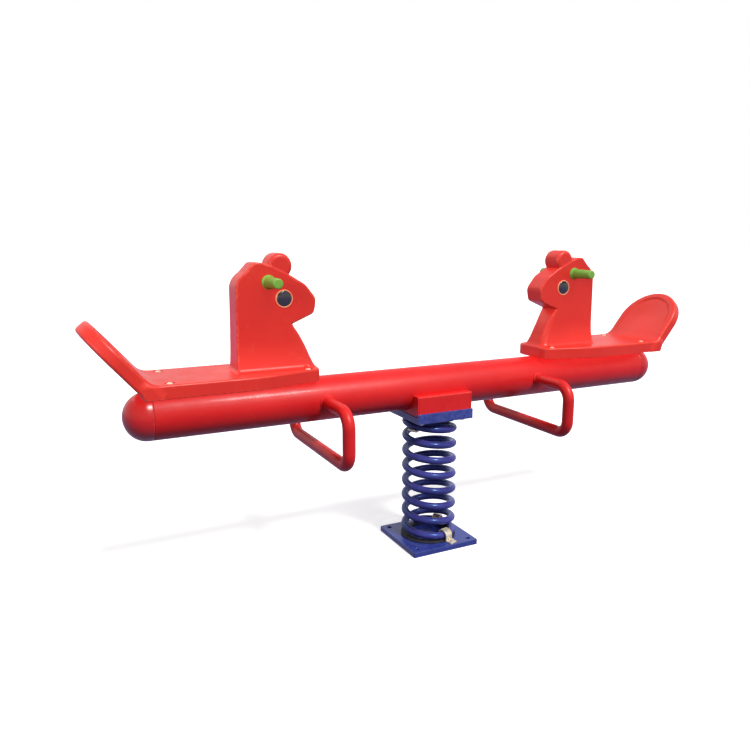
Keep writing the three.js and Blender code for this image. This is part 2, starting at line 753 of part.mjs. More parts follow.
// A sleeve along +Y with a collar at the head and a rounded closed end.
function gripGeometry() {
  const start = HEAD_HALF_WIDTH + GAP;
  const inner = HANDLE_RADIUS + HOLE_CLEARANCE;
  const outline = [
    [inner, start],
    [COLLAR_RADIUS, start],
    [COLLAR_RADIUS, start + 5],
    [GRIP_RADIUS, start + 9],
    [GRIP_RADIUS, GRIP_END_Y - 4],
    [GRIP_RADIUS - 5, GRIP_END_Y],
    [0, GRIP_END_Y],
    [0, HANDLE_HALF_LENGTH + GAP],
    [inner, HANDLE_HALF_LENGTH + GAP],
    [inner, start],
  ];
  const points = outline.map(([radius, y]) => new THREE.Vector2(radius, y));
  return new THREE.LatheGeometry(points, 12);
}

function eyeGeometry() {
  const start = HEAD_HALF_WIDTH + GAP;
  const outline = [
    [0, start],
    [EYE_RADIUS, start],
    [EYE_RADIUS, start + 2],
    [EYE_RADIUS * 0.7, start + EYE_THICK],
    [0, start + EYE_THICK],
  ];
  const points = outline.map(([radius, y]) => new THREE.Vector2(radius, y));
  return new THREE.LatheGeometry(points, 16);
}

// ---------------------------------------------------------------- assembly

function named(name, geometry, material) {
  const mesh = new THREE.Mesh(geometry, material);
  mesh.name = name;
  return mesh;
}

function supportGroup() {
  const group = new THREE.Group();
  group.add(named('base_plate', basePlateGeometry(), BLUE_PAINT));
  group.add(named('lower_spring_ring', ringGeometry(BASE_THICK + GAP), DARK_RUBBER));
  group.add(named('spring', springGeometry(), SPRING_PAINT));
  group.add(named('upper_spring_ring', ringGeometry(UPPER_RING_LOW), DARK_RUBBER));
  group.add(named('top_plate', topPlateGeometry(), BLUE_PAINT));
  LOWER_CLIP_ANGLES.forEach((angle, index) => {
    group.add(clipPair(index + 1, angle, true, turnsAtAngle(angle, false)));
  });
  UPPER_CLIP_ANGLES.forEach((angle, index) => {
    group.add(clipPair(index + 1, angle, false, turnsAtAngle(angle, true)));
  });
  return group;
}

function saddleGroup() {
  const group = new THREE.Group();
  group.add(named('saddle_channel', saddleChannelGeometry(), RED_PAINT));
  for (const [side, turn] of [['right', 0], ['left', Math.PI]]) {
    const plate = named(`saddle_end_${side}`, saddleEndGeometry(), RED_PAINT);
    plate.rotation.z = turn;
    group.add(plate);
  }
  const plateTop = TOP_UNDERSIDE + TOP_THICK + GAP + SADDLE_PLATE;
  saddleBoltPlaces().forEach(({ x, y }, index) => {
    const bolt = named(`saddle_bolt_${index + 1}`, hexBoltGeometry(SADDLE_BOLT), ZINC);
    bolt.rotation.x = Math.PI;
    bolt.position.set(x, y, TOP_UNDERSIDE - GAP);
    group.add(bolt);
    const nut = named(`saddle_nut_${index + 1}`, saddleNutGeometry(), ZINC);
    nut.position.set(x, y, plateTop + GAP);
    group.add(nut);
  });
  return group;
}

// One end of the seesaw, built at +X.
function riderEnd(side) {
  const group = new THREE.Group();
  group.add(named(`end_cap_${side}`, endCapGeometry(), CAP_PLASTIC));
  group.add(named(`foot_loop_${side}`, footLoopGeometry(), RED_PAINT));
  group.add(named(`seat_${side}`, seatGeometry(), SEAT_PLASTIC));
  for (const [row, place] of Object.entries(SEAT_BOLTS)) {
    group.add(named(`seat_bar_${row}_${side}`, crossBarGeometry(place), RED_PAINT));
  }
  for (const { row, hand, x, y } of seatBoltPlaces()) {
    const bolt = named(`seat_bolt_${row}_${hand}_${side}`, seatBoltGeometry(), ZINC);
    bolt.position.set(x, y, 0);
    group.add(bolt);
  }
  group.add(named(`handlebar_${side}`, handlebarGeometry(), ZINC));
  for (const [hand, turn] of [['b', 0], ['a', Math.PI]]) {
    const grip = named(`grip_${hand}_${side}`, gripGeometry(), GRIP_GREEN);
    grip.position.set(HANDLE_X, 0, HANDLE_Z);
    grip.rotation.z = turn;
    const eye = named(`eye_${hand}_${side}`, eyeGeometry(), EYE_PLASTIC);
    eye.position.set(EYE_X, 0, EYE_Z);
    eye.rotation.z = turn;
    group.add(grip, eye);
  }
  return group;
}

const seesaw = new THREE.Group();
seesaw.add(supportGroup());
seesaw.add(saddleGroup());
seesaw.add(named('beam_tube', beamTubeGeometry(), RED_PAINT));
for (const [side, turn] of [['right', 0], ['left', Math.PI]]) {
  const end = riderEnd(side);
  end.rotation.z = turn;
  seesaw.add(end);
}

export default seesaw;
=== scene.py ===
import json
import math

import bpy
import bmesh
import numpy as np
from mathutils import Matrix, Vector

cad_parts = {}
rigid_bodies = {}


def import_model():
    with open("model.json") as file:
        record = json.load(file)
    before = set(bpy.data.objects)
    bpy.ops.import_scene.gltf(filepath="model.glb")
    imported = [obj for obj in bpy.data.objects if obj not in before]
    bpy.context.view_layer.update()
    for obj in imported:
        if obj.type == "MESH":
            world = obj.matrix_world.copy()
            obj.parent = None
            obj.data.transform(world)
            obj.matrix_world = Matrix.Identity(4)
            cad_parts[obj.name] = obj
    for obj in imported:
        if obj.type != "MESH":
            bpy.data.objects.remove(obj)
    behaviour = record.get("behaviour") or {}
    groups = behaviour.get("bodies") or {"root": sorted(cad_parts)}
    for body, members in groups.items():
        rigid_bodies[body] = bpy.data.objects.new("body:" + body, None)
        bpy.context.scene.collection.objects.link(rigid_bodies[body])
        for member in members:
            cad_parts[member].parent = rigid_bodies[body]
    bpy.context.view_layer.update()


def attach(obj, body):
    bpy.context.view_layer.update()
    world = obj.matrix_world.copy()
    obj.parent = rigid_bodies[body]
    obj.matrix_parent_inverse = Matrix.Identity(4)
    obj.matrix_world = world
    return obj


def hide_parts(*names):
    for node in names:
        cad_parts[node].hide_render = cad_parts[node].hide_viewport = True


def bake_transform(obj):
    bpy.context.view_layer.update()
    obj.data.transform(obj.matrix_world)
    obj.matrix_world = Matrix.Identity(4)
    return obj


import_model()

# A playground spring seesaw. Lengths are in millimetres until they reach a mesh.
MM = 0.001


# ---------------- driving dimensions

GAP = 0.3
BASE_SIDE = 250.0
BASE_THICK = 18.0
ANCHOR_OFFSET = 100.0
ANCHOR_RADIUS = 8.0
PLATE_CORNER = 5.0

WIRE_RADIUS = 12.0
COIL_RADIUS = 81.5
COIL_TURNS = 8.3
COIL_START = math.radians(96.8)
FLAT_TURNS = 0.35
EASE_TURNS = 0.3
STEPS_PER_TURN = 56

RING_THICK = 6.0
RING_INNER = 70.0
RING_OUTER = 95.0
TOP_SIDE = 210.0
TOP_LOW = 447.0
TOP_THICK = 23.0
TOP_LIP_Z = 480.5
TOP_LIP_THICK = 6.0

CLIP_THICK = 6.0
CLIP_HALF_WIDTH = 14.0
CLIP_INNER = 15.0
CLIP_FOOT = 27.5
CLIP_BOLT_X = 31.0
CLIP_HOOK_END = math.radians(150)
LOWER_CLIPS = (35, -75)
UPPER_CLIPS = (50, 125, 200)

BEAM_RADIUS = 70.0
BEAM_WALL = 4.0
BEAM_Z = 547.0
SEAM_X = 910.0
BEAM_END_X = 988.0
SPIGOT = 28.0
CAP_COLLAR = 12.0
CAP_WALL = 4.0

SADDLE_HALF = 97.0
SADDLE_HALF_WIDTH = 98.5
SADDLE_PLATE = 6.0
SADDLE_CHEEK = 7.0
SADDLE_TOP = 537.0
SADDLE_BOLTS = [(x, y) for x in (-78.0, 78.0) for y in (-78.0, 78.0)]

LOOP_X = 405.0
LOOP_RADIUS = 19.0
LOOP_BORE = 16.0
LOOP_HALF = 229.0
LOOP_BAR_Z = 384.0
LOOP_TOP_BEND = 48.0
LOOP_LOW_BEND = 46.0
WELD_RADIUS = 3.4
WELD_RIPPLE = 4

SEAT_Z = 656.0
SEAT_LOW = 617.5
SEAT_HALF = 126.0
SEAT_FRONT = 424.0
CHEST_HALF = 86.0
SEAT_WALL = 6.0
CREASE_X = 918.0
BACK_ANGLE = math.radians(50)
BACK_LENGTH = 222.0
BACK_THICK = 40.0
HEAD_HALF = 40.0
HEAD_WALL = 9.0
KNOB_X = 531.0
KNOB_Z = 958.0
KNOB_RADIUS = 37.0
KNOB_HALF = 38.0

BAR_LOW = 617.3
BAR_THICK = 8.0
BAR_HALF = 16.0
BAR_OVERHANG = 10.0
SEAT_BOLTS = {"rear": (870.0, 95.0), "front": (464.0, 66.0)}
BOLT_HOLE = 5.8
SADDLE_HOLE = 6.8
# Bolt sizes: shank radius, hexagon corner radius and head height.
M10_BOLT = {"shank": 5.0, "across": 9.8, "height": 6.2}
M12_BOLT = {"shank": 6.0, "across": 10.4, "height": 7.3}
CLIP_BOLT_LENGTH = 18.0
SADDLE_BOLT_LENGTH = 43.0
NUT_HEIGHT = 10.0
NUT_BORE = 6.5
SEAT_BOLT_HEAD = 9.5
SEAT_BOLT_RADIUS = 5.0
SEAT_BOLT_TIP = 618.0
RECESS_RADIUS = 14.0
BOSS_RADIUS = 17.0
RECESS_DEPTH = 5.0

HANDLE_X = 570.0
HANDLE_Z = 913.0
HANDLE_RADIUS = 10.0
HANDLE_HALF = 126.0
GRIP_END = 131.0
COLLAR_RADIUS = 21.0
EYE_X = 524.0
EYE_Z = 864.0
EYE_RADIUS = 26.5
EYE_RING_WIDTH = 3.9

SIDES = {"right": 1.0, "left": -1.0}

# The camera's place in metres, its turn and tilt in radians and its focal length for a frame this wide.
CAMERA_PLACE = (-1.1818, -1.9577, 1.0329)
CAMERA_YAW, CAMERA_PITCH = 0.4615, 0.1942
CAMERA_FOCAL, FRAME_WIDTH = 688.138, 750.0
# Each light's direction to shine from, spread in degrees and strength.
SUNS = {"key": ((0.30, -1.0, 1.35), 12.0, 2.75), "fill": ((0.1, -1.0, 0.8), 20.0, 0.3),
        "back": ((-0.3, 1.0, 1.0), 40.0, 0.3), "seat light": ((-1.0, -0.45, 0.35), 30.0, 1.1)}
WHITE = (1.0, 1.0, 1.0, 1.0)


# ---------------- materials


def srgb(red, green, blue):
    """A display colour, 0 to 255, as the linear colour that a shader takes."""
    out = []
    for value in (red, green, blue):
        c = value / 255.0
        out.append(c / 12.92 if c <= 0.04045 else ((c + 0.055) / 1.055) ** 2.4)
    return (*out, 1.0)


def set_stops(node, stops):
    """Gives a colour ramp its (position, colour) stops."""
    elements = node.color_ramp.elements
    while len(elements) < len(stops):
        elements.new(0.5)
    for element, (position, color) in zip(elements, stops):
        element.position, element.color = position, color


class Nodes:
    """A material's node tree with short names for what the surfaces below share."""

    def __init__(self, name):
        self.material = bpy.data.materials.new(name)
        self.material.use_nodes = True
        self.tree = self.material.node_tree
        self.shader = self.tree.nodes["Principled BSDF"]
        self.coords = self.tree.nodes.new("ShaderNodeTexCoord").outputs["Object"]

    def add(self, kind, links=None, **settings):
        node = self.tree.nodes.new(kind)
        for key, value in settings.items():
            setattr(node, key, value)
        for socket, source in (links or {}).items():
            if isinstance(source, bpy.types.NodeSocket):
                self.tree.links.new(source, node.inputs[socket])
            else:
                node.inputs[socket].default_value = source
        return node

    def noise(self, scale, detail=3.0, roughness=0.5, stretch=None):
        vector = self.coords
        if stretch:
            vector = self.add("ShaderNodeMapping", {"Vector": vector, "Scale": stretch}).outputs["Vector"]
        node = self.add("ShaderNodeTexNoise", {"Vector": vector, "Scale": scale, "Detail": detail,
                                               "Roughness": roughness})
        return node.outputs["Fac"]

    def ramp(self, factor, *stops):
        node = self.add("ShaderNodeValToRGB", {"Fac": factor})
        set_stops(node, [(at, color if isinstance(color, tuple) else (color, color, color, 1.0))
                         for at, color in stops])
        return node.outputs["Color"]

    def blend(self, factor, first, second, mode="MIX"):
        links = {0: factor, 6: first, 7: second}
        return self.add("ShaderNodeMix", links, data_type="RGBA", blend_type=mode).outputs[2]

    def edges(self, low, high):
        """1 on convex edges and 0 on flats, broken up by noise."""
        point = self.add("ShaderNodeNewGeometry").outputs["Pointiness"]
        edge = self.ramp(point, (low, 0.0), (high, 1.0))
        broken = self.ramp(self.noise(90.0, 4.0, 0.6), (0.42, 0.0), (0.62, 1.0))
        return self.blend(1.0, edge, broken, "MULTIPLY")

    def bump(self, height, strength, distance, after=None):
        links = {"Height": height, "Strength": strength, "Distance": distance}
        if after is not None:
            links["Normal"] = after
        return self.add("ShaderNodeBump", links).outputs["Normal"]

    def finish(self, color, roughness, normal, **constants):
        self.tree.links.new(color, self.shader.inputs["Base Color"])
        self.tree.links.new(roughness, self.shader.inputs["Roughness"])
        self.tree.links.new(normal, self.shader.inputs["Normal"])
        for key, value in constants.items():
            self.shader.inputs[key.replace("_", " ")].default_value = value
        return self.material


def powder_coat(name, base, deep, worn, gloss=(0.24, 0.38), coat=0.2, tint=WHITE, specular=0.5):
    """Glossy powder coat: cloudy colour, orange peel, dust specks and slightly worn edges."""
    n = Nodes(name)
    cloud = n.ramp(n.noise(7.0, 4.0, 0.55), (0.34, deep), (0.66, base))
    scuff = n.ramp(n.noise(34.0, 6.0, 0.7, (1.0, 1.0, 3.0)), (0.58, 0.0), (0.78, 0.22))
    color = n.blend(scuff, cloud, worn)
    color = n.blend(n.edges(0.53, 0.60), color, worn)
    roughness = n.ramp(n.noise(22.0, 5.0, 0.65), (0.3, gloss[0]), (0.72, gloss[1]))
    normal = n.bump(n.noise(420.0, 2.0, 0.5), 0.12, 0.0006)
    normal = n.bump(n.noise(9.0, 2.0, 0.4), 0.06, 0.004, normal)
    return n.finish(color, roughness, normal, Coat_Weight=coat, Coat_Roughness=0.12, Coat_Tint=tint,
                    Specular_Tint=tint, Specular_IOR_Level=specular)


def moulded_plastic(name, base, deep, pale, gloss=(0.3, 0.44), grain=0.16, specular=0.5):
    """Moulded polyethylene: soft colour drift, fine grain, a few rubbed places."""
    n = Nodes(name)
    cloud = n.ramp(n.noise(5.0, 4.0, 0.55), (0.32, deep), (0.68, base))
    rubbed = n.ramp(n.noise(26.0, 7.0, 0.72, (1.0, 2.2, 1.0)), (0.6, 0.0), (0.8, 0.3))
    color = n.blend(rubbed, cloud, pale)
    color = n.blend(n.edges(0.515, 0.57), color, pale)
    roughness = n.ramp(n.noise(16.0, 6.0, 0.65), (0.3, gloss[0]), (0.7, gloss[1]))
    normal = n.bump(n.noise(650.0, 2.0, 0.6), grain, 0.0005)
    normal = n.bump(n.noise(11.0, 2.0, 0.4), 0.08, 0.004, normal)
    return n.finish(color, roughness, normal, Specular_IOR_Level=specular)


def zinc_plate(name):
    """Yellow-passivated zinc: blotchy warm metal with fine tool marks."""
    n = Nodes(name)
    warm, pale, blue = srgb(240, 208, 140), srgb(246, 236, 208), srgb(206, 204, 206)
    color = n.ramp(n.noise(60.0, 5.0, 0.6), (0.3, blue), (0.5, pale), (0.72, warm))
    marks = n.noise(300.0, 3.0, 0.6, (1.0, 1.0, 0.15))
    roughness = n.ramp(n.noise(140.0, 4.0, 0.6), (0.3, 0.22), (0.7, 0.42))
    return n.finish(color, roughness, n.bump(marks, 0.2, 0.0004), Metallic=0.6)


def matte_rubber(name):
    n = Nodes(name)
    color = n.ramp(n.noise(45.0, 5.0, 0.6), (0.3, srgb(22, 21, 27)), (0.75, srgb(52, 49, 60)))
    roughness = n.ramp(n.noise(80.0, 4.0, 0.6), (0.3, 0.6), (0.7, 0.85))
    return n.finish(color, roughness, n.bump(n.noise(700.0, 2.0, 0.6), 0.3, 0.0005))


def eye_gloss(name):
    n = Nodes(name)
    color = n.ramp(n.noise(90.0, 3.0, 0.5), (0.35, srgb(16, 12, 22)), (0.7, srgb(36, 26, 46)))
    roughness = n.ramp(n.noise(120.0, 4.0, 0.6), (0.35, 0.08), (0.7, 0.2))
    return n.finish(color, roughness, n.bump(n.noise(260.0, 2.0, 0.5), 0.05, 0.0003), Coat_Weight=0.6)


RED = powder_coat("red powder coat", srgb(232, 36, 36), srgb(222, 28, 30), srgb(240, 84, 74),
                  (0.38, 0.5), 0.08, specular=0.32)
BLUE = powder_coat("blue powder coat", srgb(48, 64, 152), srgb(38, 50, 126), srgb(104, 118, 192),
                   coat=0.15)
COIL = powder_coat("spring powder coat", srgb(80, 72, 152), srgb(58, 48, 118), srgb(124, 120, 190),
                   (0.26, 0.38), tint=(0.12, 0.55, 1.0, 1.0))
SEAT = moulded_plastic("red seat plastic", srgb(226, 54, 42), srgb(218, 46, 38), srgb(240, 112, 88),
                       specular=0.35)
CAP = moulded_plastic("red cap plastic", srgb(224, 32, 30), srgb(208, 24, 24), srgb(240, 96, 84),
                      (0.22, 0.36))
GREEN = moulded_plastic("green grip plastic", srgb(136, 180, 64), srgb(100, 160, 58), srgb(180, 206, 104),
                        (0.36, 0.52), grain=0.3)
ORANGE = moulded_plastic("orange ring plastic", srgb(246, 160, 110), srgb(238, 140, 92), srgb(250, 190, 150))
ZINC = zinc_plate("yellow zinc plate")
RUBBER = matte_rubber("dark rubber")
EYE = eye_gloss("dark eye plastic")


# ---------------- mesh helpers


def join_parts(*parts):
    """Several (vertices, faces) as one."""
    vertices, faces, start = [], [], 0
    for points, loops in parts:
        vertices.append(np.asarray(points, float))
        faces += [tuple(i + start for i in face) for face in loops]
        start += len(points)
    return np.concatenate(vertices), faces


def turned(points, side):
    """The right-hand end's points, or the same turned half round for the left."""
    return np.asarray(points, float) * np.array([side, side, 1.0])


def linked(name, data):
    """A new object in the scene."""
    obj = bpy.data.objects.new(name, data)
    bpy.context.scene.collection.objects.link(obj)
    return obj


def new_object(name, points, faces, material, tidy=True):
    mesh = bpy.data.meshes.new(name)
    mesh.from_pydata((np.asarray(points, float) * MM).tolist(), [], faces)
    if tidy:
        work = bmesh.new()
        work.from_mesh(mesh)
        bmesh.ops.recalc_face_normals(work, faces=work.faces)
        work.to_mesh(mesh)
        work.free()
    for item in material if isinstance(material, (list, tuple)) else [material]:
        mesh.materials.append(item)
    return linked(name, mesh)


def apply_modifiers(obj):
    bpy.context.view_layer.update()
    shaped = obj.evaluated_get(bpy.context.evaluated_depsgraph_get())
    mesh = bpy.data.meshes.new_from_object(shaped)
    obj.modifiers.clear()
    old, obj.data = obj.data, mesh
    bpy.data.meshes.remove(old)
    mesh.name = obj.name
    return obj


def bevelled(obj, width, segments=3):
    mod = obj.modifiers.new("edges", "BEVEL")
    mod.width = width * MM
    mod.segments = segments
    mod.limit_method = "ANGLE"
    mod.angle_limit = math.radians(35)
    return apply_modifiers(obj)


def drilled(obj, places, radius, low, high, chamfer=0.8):
    """Round holes along Z with a small chamfer at both faces."""
    profile = [(0, low - 2), (radius + chamfer + 2, low - 2), (radius, low + chamfer),
               (radius, high - chamfer), (radius + chamfer + 2, high + 2), (0, high + 2)]
    for x, y in places:
        points, faces = revolve(profile, 32)
        cutter = new_object("cutter", points + np.array([x, y, 0.0]), faces, ZINC)
        mod = obj.modifiers.new("hole", "BOOLEAN")
        mod.object = cutter
        mod.operation = "DIFFERENCE"
        mod.solver = "EXACT"
        apply_modifiers(obj)
        mesh = cutter.data
        bpy.data.objects.remove(cutter)
        bpy.data.meshes.remove(mesh)
    return obj


def shaded(obj, angle=32, weighted=False):
    mesh = obj.data
    mesh.polygons.foreach_set("use_smooth", [True] * len(mesh.polygons))
    mesh.set_sharp_from_angle(angle=math.radians(angle))
    if weighted:
        mod = obj.modifiers.new("normals", "WEIGHTED_NORMAL")
        mod.keep_sharp = True
        mod.weight = 100
        apply_modifiers(obj)
    return obj


def settle(obj, body, slot, *nodes):
    """The finished piece rides on its body and stands for its CAD nodes."""
    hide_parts(*nodes)
    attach(obj, body)
    return obj


def ring_faces(first, second):
    n = len(first)
    return [(first[i], first[(i + 1) % n], second[(i + 1) % n], second[i]) for i in range(n)]


def revolve(profile, sides, closed=False):
    """A profile of (radius, height), rising up its outer side, turned about Z."""
    angles = np.arange(sides) * (2 * math.pi / sides)
    points, rings, faces = [], [], []
    for radius, height in profile:
        start = len(points)
        if radius < 1e-6:
            points.append((0.0, 0.0, height))
        else:
            points += [(radius * math.cos(a), radius * math.sin(a), height) for a in angles]
        rings.append(list(range(start, len(points))))
    order = rings + [rings[0]] if closed else rings
    for a, b in zip(order, order[1:]):
        if len(a) == 1 and len(b) == 1:
            continue
        if len(a) == 1:
            faces += [(a[0], b[(i + 1) % sides], b[i]) for i in range(sides)]
        elif len(b) == 1:
            faces += [(a[i], a[(i + 1) % sides], b[0]) for i in range(sides)]
        else:
            faces += ring_faces(a, b)
    return np.array(points), faces


def fillet(points, radius, steps=4, closed=False):
    """The same outline with each corner rounded. Radius may be one number or one for each corner."""
    count = len(points)
    radii = [radius] * count if np.isscalar(radius) else list(radius)
    out = []
    for i, point in enumerate(points):
        here = np.array(point, float)
        if radii[i] <= 0 or (not closed and i in (0, count - 1)):
            out.append(tuple(here))
            continue
        before = np.array(points[i - 1], float) - here
        after = np.array(points[(i + 1) % count], float) - here
        reach_in, reach_out = np.linalg.norm(before), np.linalg.norm(after)
        size = min(radii[i], reach_in * 0.48, reach_out * 0.48)
        start, end = here + before / reach_in * size, here + after / reach_out * size
        for k in range(steps + 1):
            t = k / steps
            out.append(tuple((1 - t) ** 2 * start + 2 * t * (1 - t) * here + t * t * end))
    return out


def rectangle(x0, y0, x1, y1):
    return [(x0, y0), (x1, y0), (x1, y1), (x0, y1)]


def prism(outline, low, high, axis):
    """A closed outline between two stations along an axis. (y, z) for X, (x, z) for Y, (x, y) for Z."""
    flat = np.array(outline, float)
    n = len(flat)
    points = []
    for station in (low, high):
        level = np.full(n, station)
        columns = {"X": (level, flat[:, 0], flat[:, 1]), "Y": (flat[:, 0], level, flat[:, 1]),
                   "Z": (flat[:, 0], flat[:, 1], level)}[axis]
        points.append(np.stack(columns, 1))
    faces = [tuple(range(n)), tuple(range(2 * n - 1, n - 1, -1))]
    faces += ring_faces(list(range(n)), list(range(n, 2 * n)))
    return np.concatenate(points), faces


def circle(radius, sides):
    angles = np.arange(sides) * (2 * math.pi / sides)
    return np.stack([radius * np.cos(angles), radius * np.sin(angles)], 1)


def sweep_rings(path, side, section):
    """Section points carried along a path. side is a direction to keep the section's first axis near."""
    path = np.asarray(path, float)
    tangent = np.gradient(path, axis=0)
    tangent /= np.linalg.norm(tangent, axis=1)[:, None]
    side = np.broadcast_to(np.asarray(side, float), path.shape)
    first = side - (side * tangent).sum(1)[:, None] * tangent
    first /= np.linalg.norm(first, axis=1)[:, None]
    second = np.cross(tangent, first)
    section = np.asarray(section, float)
    if section.ndim == 2:
        section = np.broadcast_to(section, (len(path), *section.shape))
    return path[:, None] + section[..., :1] * first[:, None] + section[..., 1:] * second[:, None]


def grid_faces(rows, columns, loop=False):
    """Faces between rings of points, joined last to first or closed by a face at each end."""
    faces = []
    for i in range(rows if loop else rows - 1):
        a = [i * columns + j for j in range(columns)]
        b = [((i + 1) % rows) * columns + j for j in range(columns)]
        faces += ring_faces(a, b)
    if not loop:
        faces += [tuple(range(columns - 1, -1, -1)), tuple(range((rows - 1) * columns, rows * columns))]
    return faces


def bead(seam, sides, radius, ripple):
    """A weld bead along a closed seam, rippled like overlapping puddles, with a direction for each point."""
    seam = np.concatenate([seam[-1:], seam, seam[:1]])
    sides = np.concatenate([sides[-1:], sides, sides[:1]])
    phase = np.arange(len(seam)) / ripple
    size = radius * (0.86 + 0.14 * np.abs(np.sin(math.pi * phase)))
    rings = sweep_rings(seam, sides, circle(1.0, 12)[None] * size[:, None, None])[1:-1]
    return rings.reshape(-1, 3), grid_faces(len(rings), 12, loop=True)


# ---------------- plates, rings and spring


def polar(radius, degrees):
    angle = math.radians(degrees)
    return radius * math.cos(angle), radius * math.sin(angle)


LOWER_RING_TOP = BASE_THICK + GAP + RING_THICK
UPPER_RING_LOW = TOP_LOW - GAP - RING_THICK
COIL_LOW = LOWER_RING_TOP + GAP + WIRE_RADIUS
COIL_HIGH = UPPER_RING_LOW - GAP - WIRE_RADIUS
LOST_TURNS = FLAT_TURNS + EASE_TURNS / 2
COIL_PITCH = (COIL_HIGH - COIL_LOW) / (COIL_TURNS - 2 * LOST_TURNS)


def rise_from_end(turns):
    """How far the wire has climbed from its flat end."""
    eased = np.clip(turns - FLAT_TURNS, 0, EASE_TURNS)
    return COIL_PITCH * (eased ** 2 / (2 * EASE_TURNS) + np.maximum(turns - FLAT_TURNS - EASE_TURNS, 0))


def coil_height(turns):
    turns = np.asarray(turns, float)
    return np.where(turns < COIL_TURNS / 2, COIL_LOW + rise_from_end(turns),
                    COIL_HIGH - rise_from_end(COIL_TURNS - turns))


def build_plates():
    lower_holes = [polar(COIL_RADIUS + CLIP_BOLT_X, a) for a in LOWER_CLIPS]
    upper_holes = [polar(COIL_RADIUS - CLIP_BOLT_X, a) for a in UPPER_CLIPS]
    anchors = [(x, y) for x in (-ANCHOR_OFFSET, ANCHOR_OFFSET) for y in (-ANCHOR_OFFSET, ANCHOR_OFFSET)]
    half = BASE_SIDE / 2
    plan = fillet(rectangle(-half, -half, half, half), PLATE_CORNER, 6, True)
    base = new_object("base_plate_steel", *prism(plan, 0, BASE_THICK, "Z"), BLUE)
    bevelled(base, 1.6)
    drilled(base, anchors, ANCHOR_RADIUS, 0, BASE_THICK, 1.2)
    drilled(base, lower_holes, BOLT_HOLE, 0, BASE_THICK)
    settle(shaded(base, weighted=True), "base", "blue_paint", "base_plate")
    high = TOP_LOW + TOP_THICK
    edge = TOP_SIDE / 2
    inner = edge - TOP_LIP_THICK
    corners = [(-edge, TOP_LOW), (edge, TOP_LOW), (edge, TOP_LIP_Z), (inner, TOP_LIP_Z), (inner, high),
               (-inner, high), (-inner, TOP_LIP_Z), (-edge, TOP_LIP_Z)]
    outline = fillet(corners, [0, 0, 0, 0, 3, 3, 0, 0], 5, True)
    top = new_object("top_plate_steel", *prism(outline, -edge, edge, "X"), BLUE)
    bevelled(top, 1.6)
    drilled(top, SADDLE_BOLTS, SADDLE_HOLE, TOP_LOW, high)
    drilled(top, upper_holes, BOLT_HOLE, TOP_LOW, high)
    settle(shaded(top, weighted=True), "beam", "blue_paint", "top_plate")


def build_rings():
    for name, low, body in (("lower", BASE_THICK + GAP, "base"), ("upper", UPPER_RING_LOW, "beam")):
        corners = rectangle(RING_INNER, low, RING_OUTER, low + RING_THICK)
        ring = new_object(f"{name}_rubber_ring", *revolve(fillet(corners, 2.2, 5, True), 96, True), RUBBER)
        settle(shaded(ring, 50), body, "ring_rubber", f"{name}_spring_ring")


def build_spring():
    count = round(COIL_TURNS * STEPS_PER_TURN)
    turns = np.linspace(0, COIL_TURNS, count + 1)
    angle = COIL_START - 2 * math.pi * turns
    radial = np.stack([np.cos(angle), np.sin(angle), np.zeros_like(angle)], 1)
    path = radial * COIL_RADIUS
    path[:, 2] = coil_height(turns)
    sides = 28
    rings = sweep_rings(path, radial, circle(WIRE_RADIUS, sides))
    rows = list(rings)
    for end, step in ((0, path[1] - path[0]), (-1, path[-2] - path[-1])):
        inward = step / np.linalg.norm(step)
        face = path[end] + (rings[end] - path[end]) * 0.88
        chamfer = path[end] + (rings[end] - path[end]) * 0.97 + inward * 0.5
        rows[end] = rings[end] + inward * 1.6
        rows = [face, chamfer, *rows] if end == 0 else [*rows, chamfer, face]
    points = np.concatenate(rows)
    coil = new_object("coil_spring", points, grid_faces(len(rows), sides), COIL)
    shaded(coil, 60)
    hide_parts("spring")
    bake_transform(coil)


# ---------------- clips, bolts and nuts


def hex_head(across, height, chamfer_low=False, hole=0.0):
    """A hexagon with its corners turned off at the top, and at the bottom too on a nut."""
    sides = 72
    angles = np.arange(sides) * (2 * math.pi / sides)
    apothem = across * math.cos(math.pi / 6)
    nearest = (angles + math.pi / 6) % (math.pi / 3) - math.pi / 6
    reach = apothem / np.cos(nearest)
    round_top = apothem * 0.96
    drop = (reach - round_top) * math.tan(math.radians(30))
    outline = np.stack([np.cos(angles), np.sin(angles)], 1)

    def ring(radius, z):
        radius = np.broadcast_to(radius, angles.shape)
        z = np.broadcast_to(z, angles.shape)
        return np.stack([outline[:, 0] * radius, outline[:, 1] * radius, z], 1)

    low = [ring(round_top, 0.0), ring(reach, drop)] if chamfer_low else [ring(reach, 0.0)]
    rows = [*low, ring(reach, height - drop), ring(round_top, height)]
    if hole:
        rows += [ring(hole + 0.8, height), ring(hole, height - 0.8), ring(hole, 0.8), ring(hole + 0.8, 0.0)]
        return np.concatenate(rows), grid_faces(len(rows), sides, loop=True)
    rows.append(ring(round_top * 0.55, height + 0.15))
    return np.concatenate(rows), grid_faces(len(rows), sides)


def threaded_shank(radius, length):
    """A shank hanging below height 0, with thread crests along its lower half and a chamfered tip."""
    profile = [(0, -length), (radius * 0.8, -length), (radius * 0.96, -length + 1.2)]
    crest = -length + 1.8
    while crest < -length * 0.35:
        profile += [(radius * 0.9, crest), (radius, crest + 0.45), (radius, crest + 0.65)]
        crest += 1.25
    profile += [(radius * 0.97, crest + 0.6), (radius * 0.97, 0.2), (0, 0.2)]
    return revolve(profile, 24)


def hex_bolt(length, shank, across, height):
    return join_parts(hex_head(across, height), threaded_shank(shank, length))


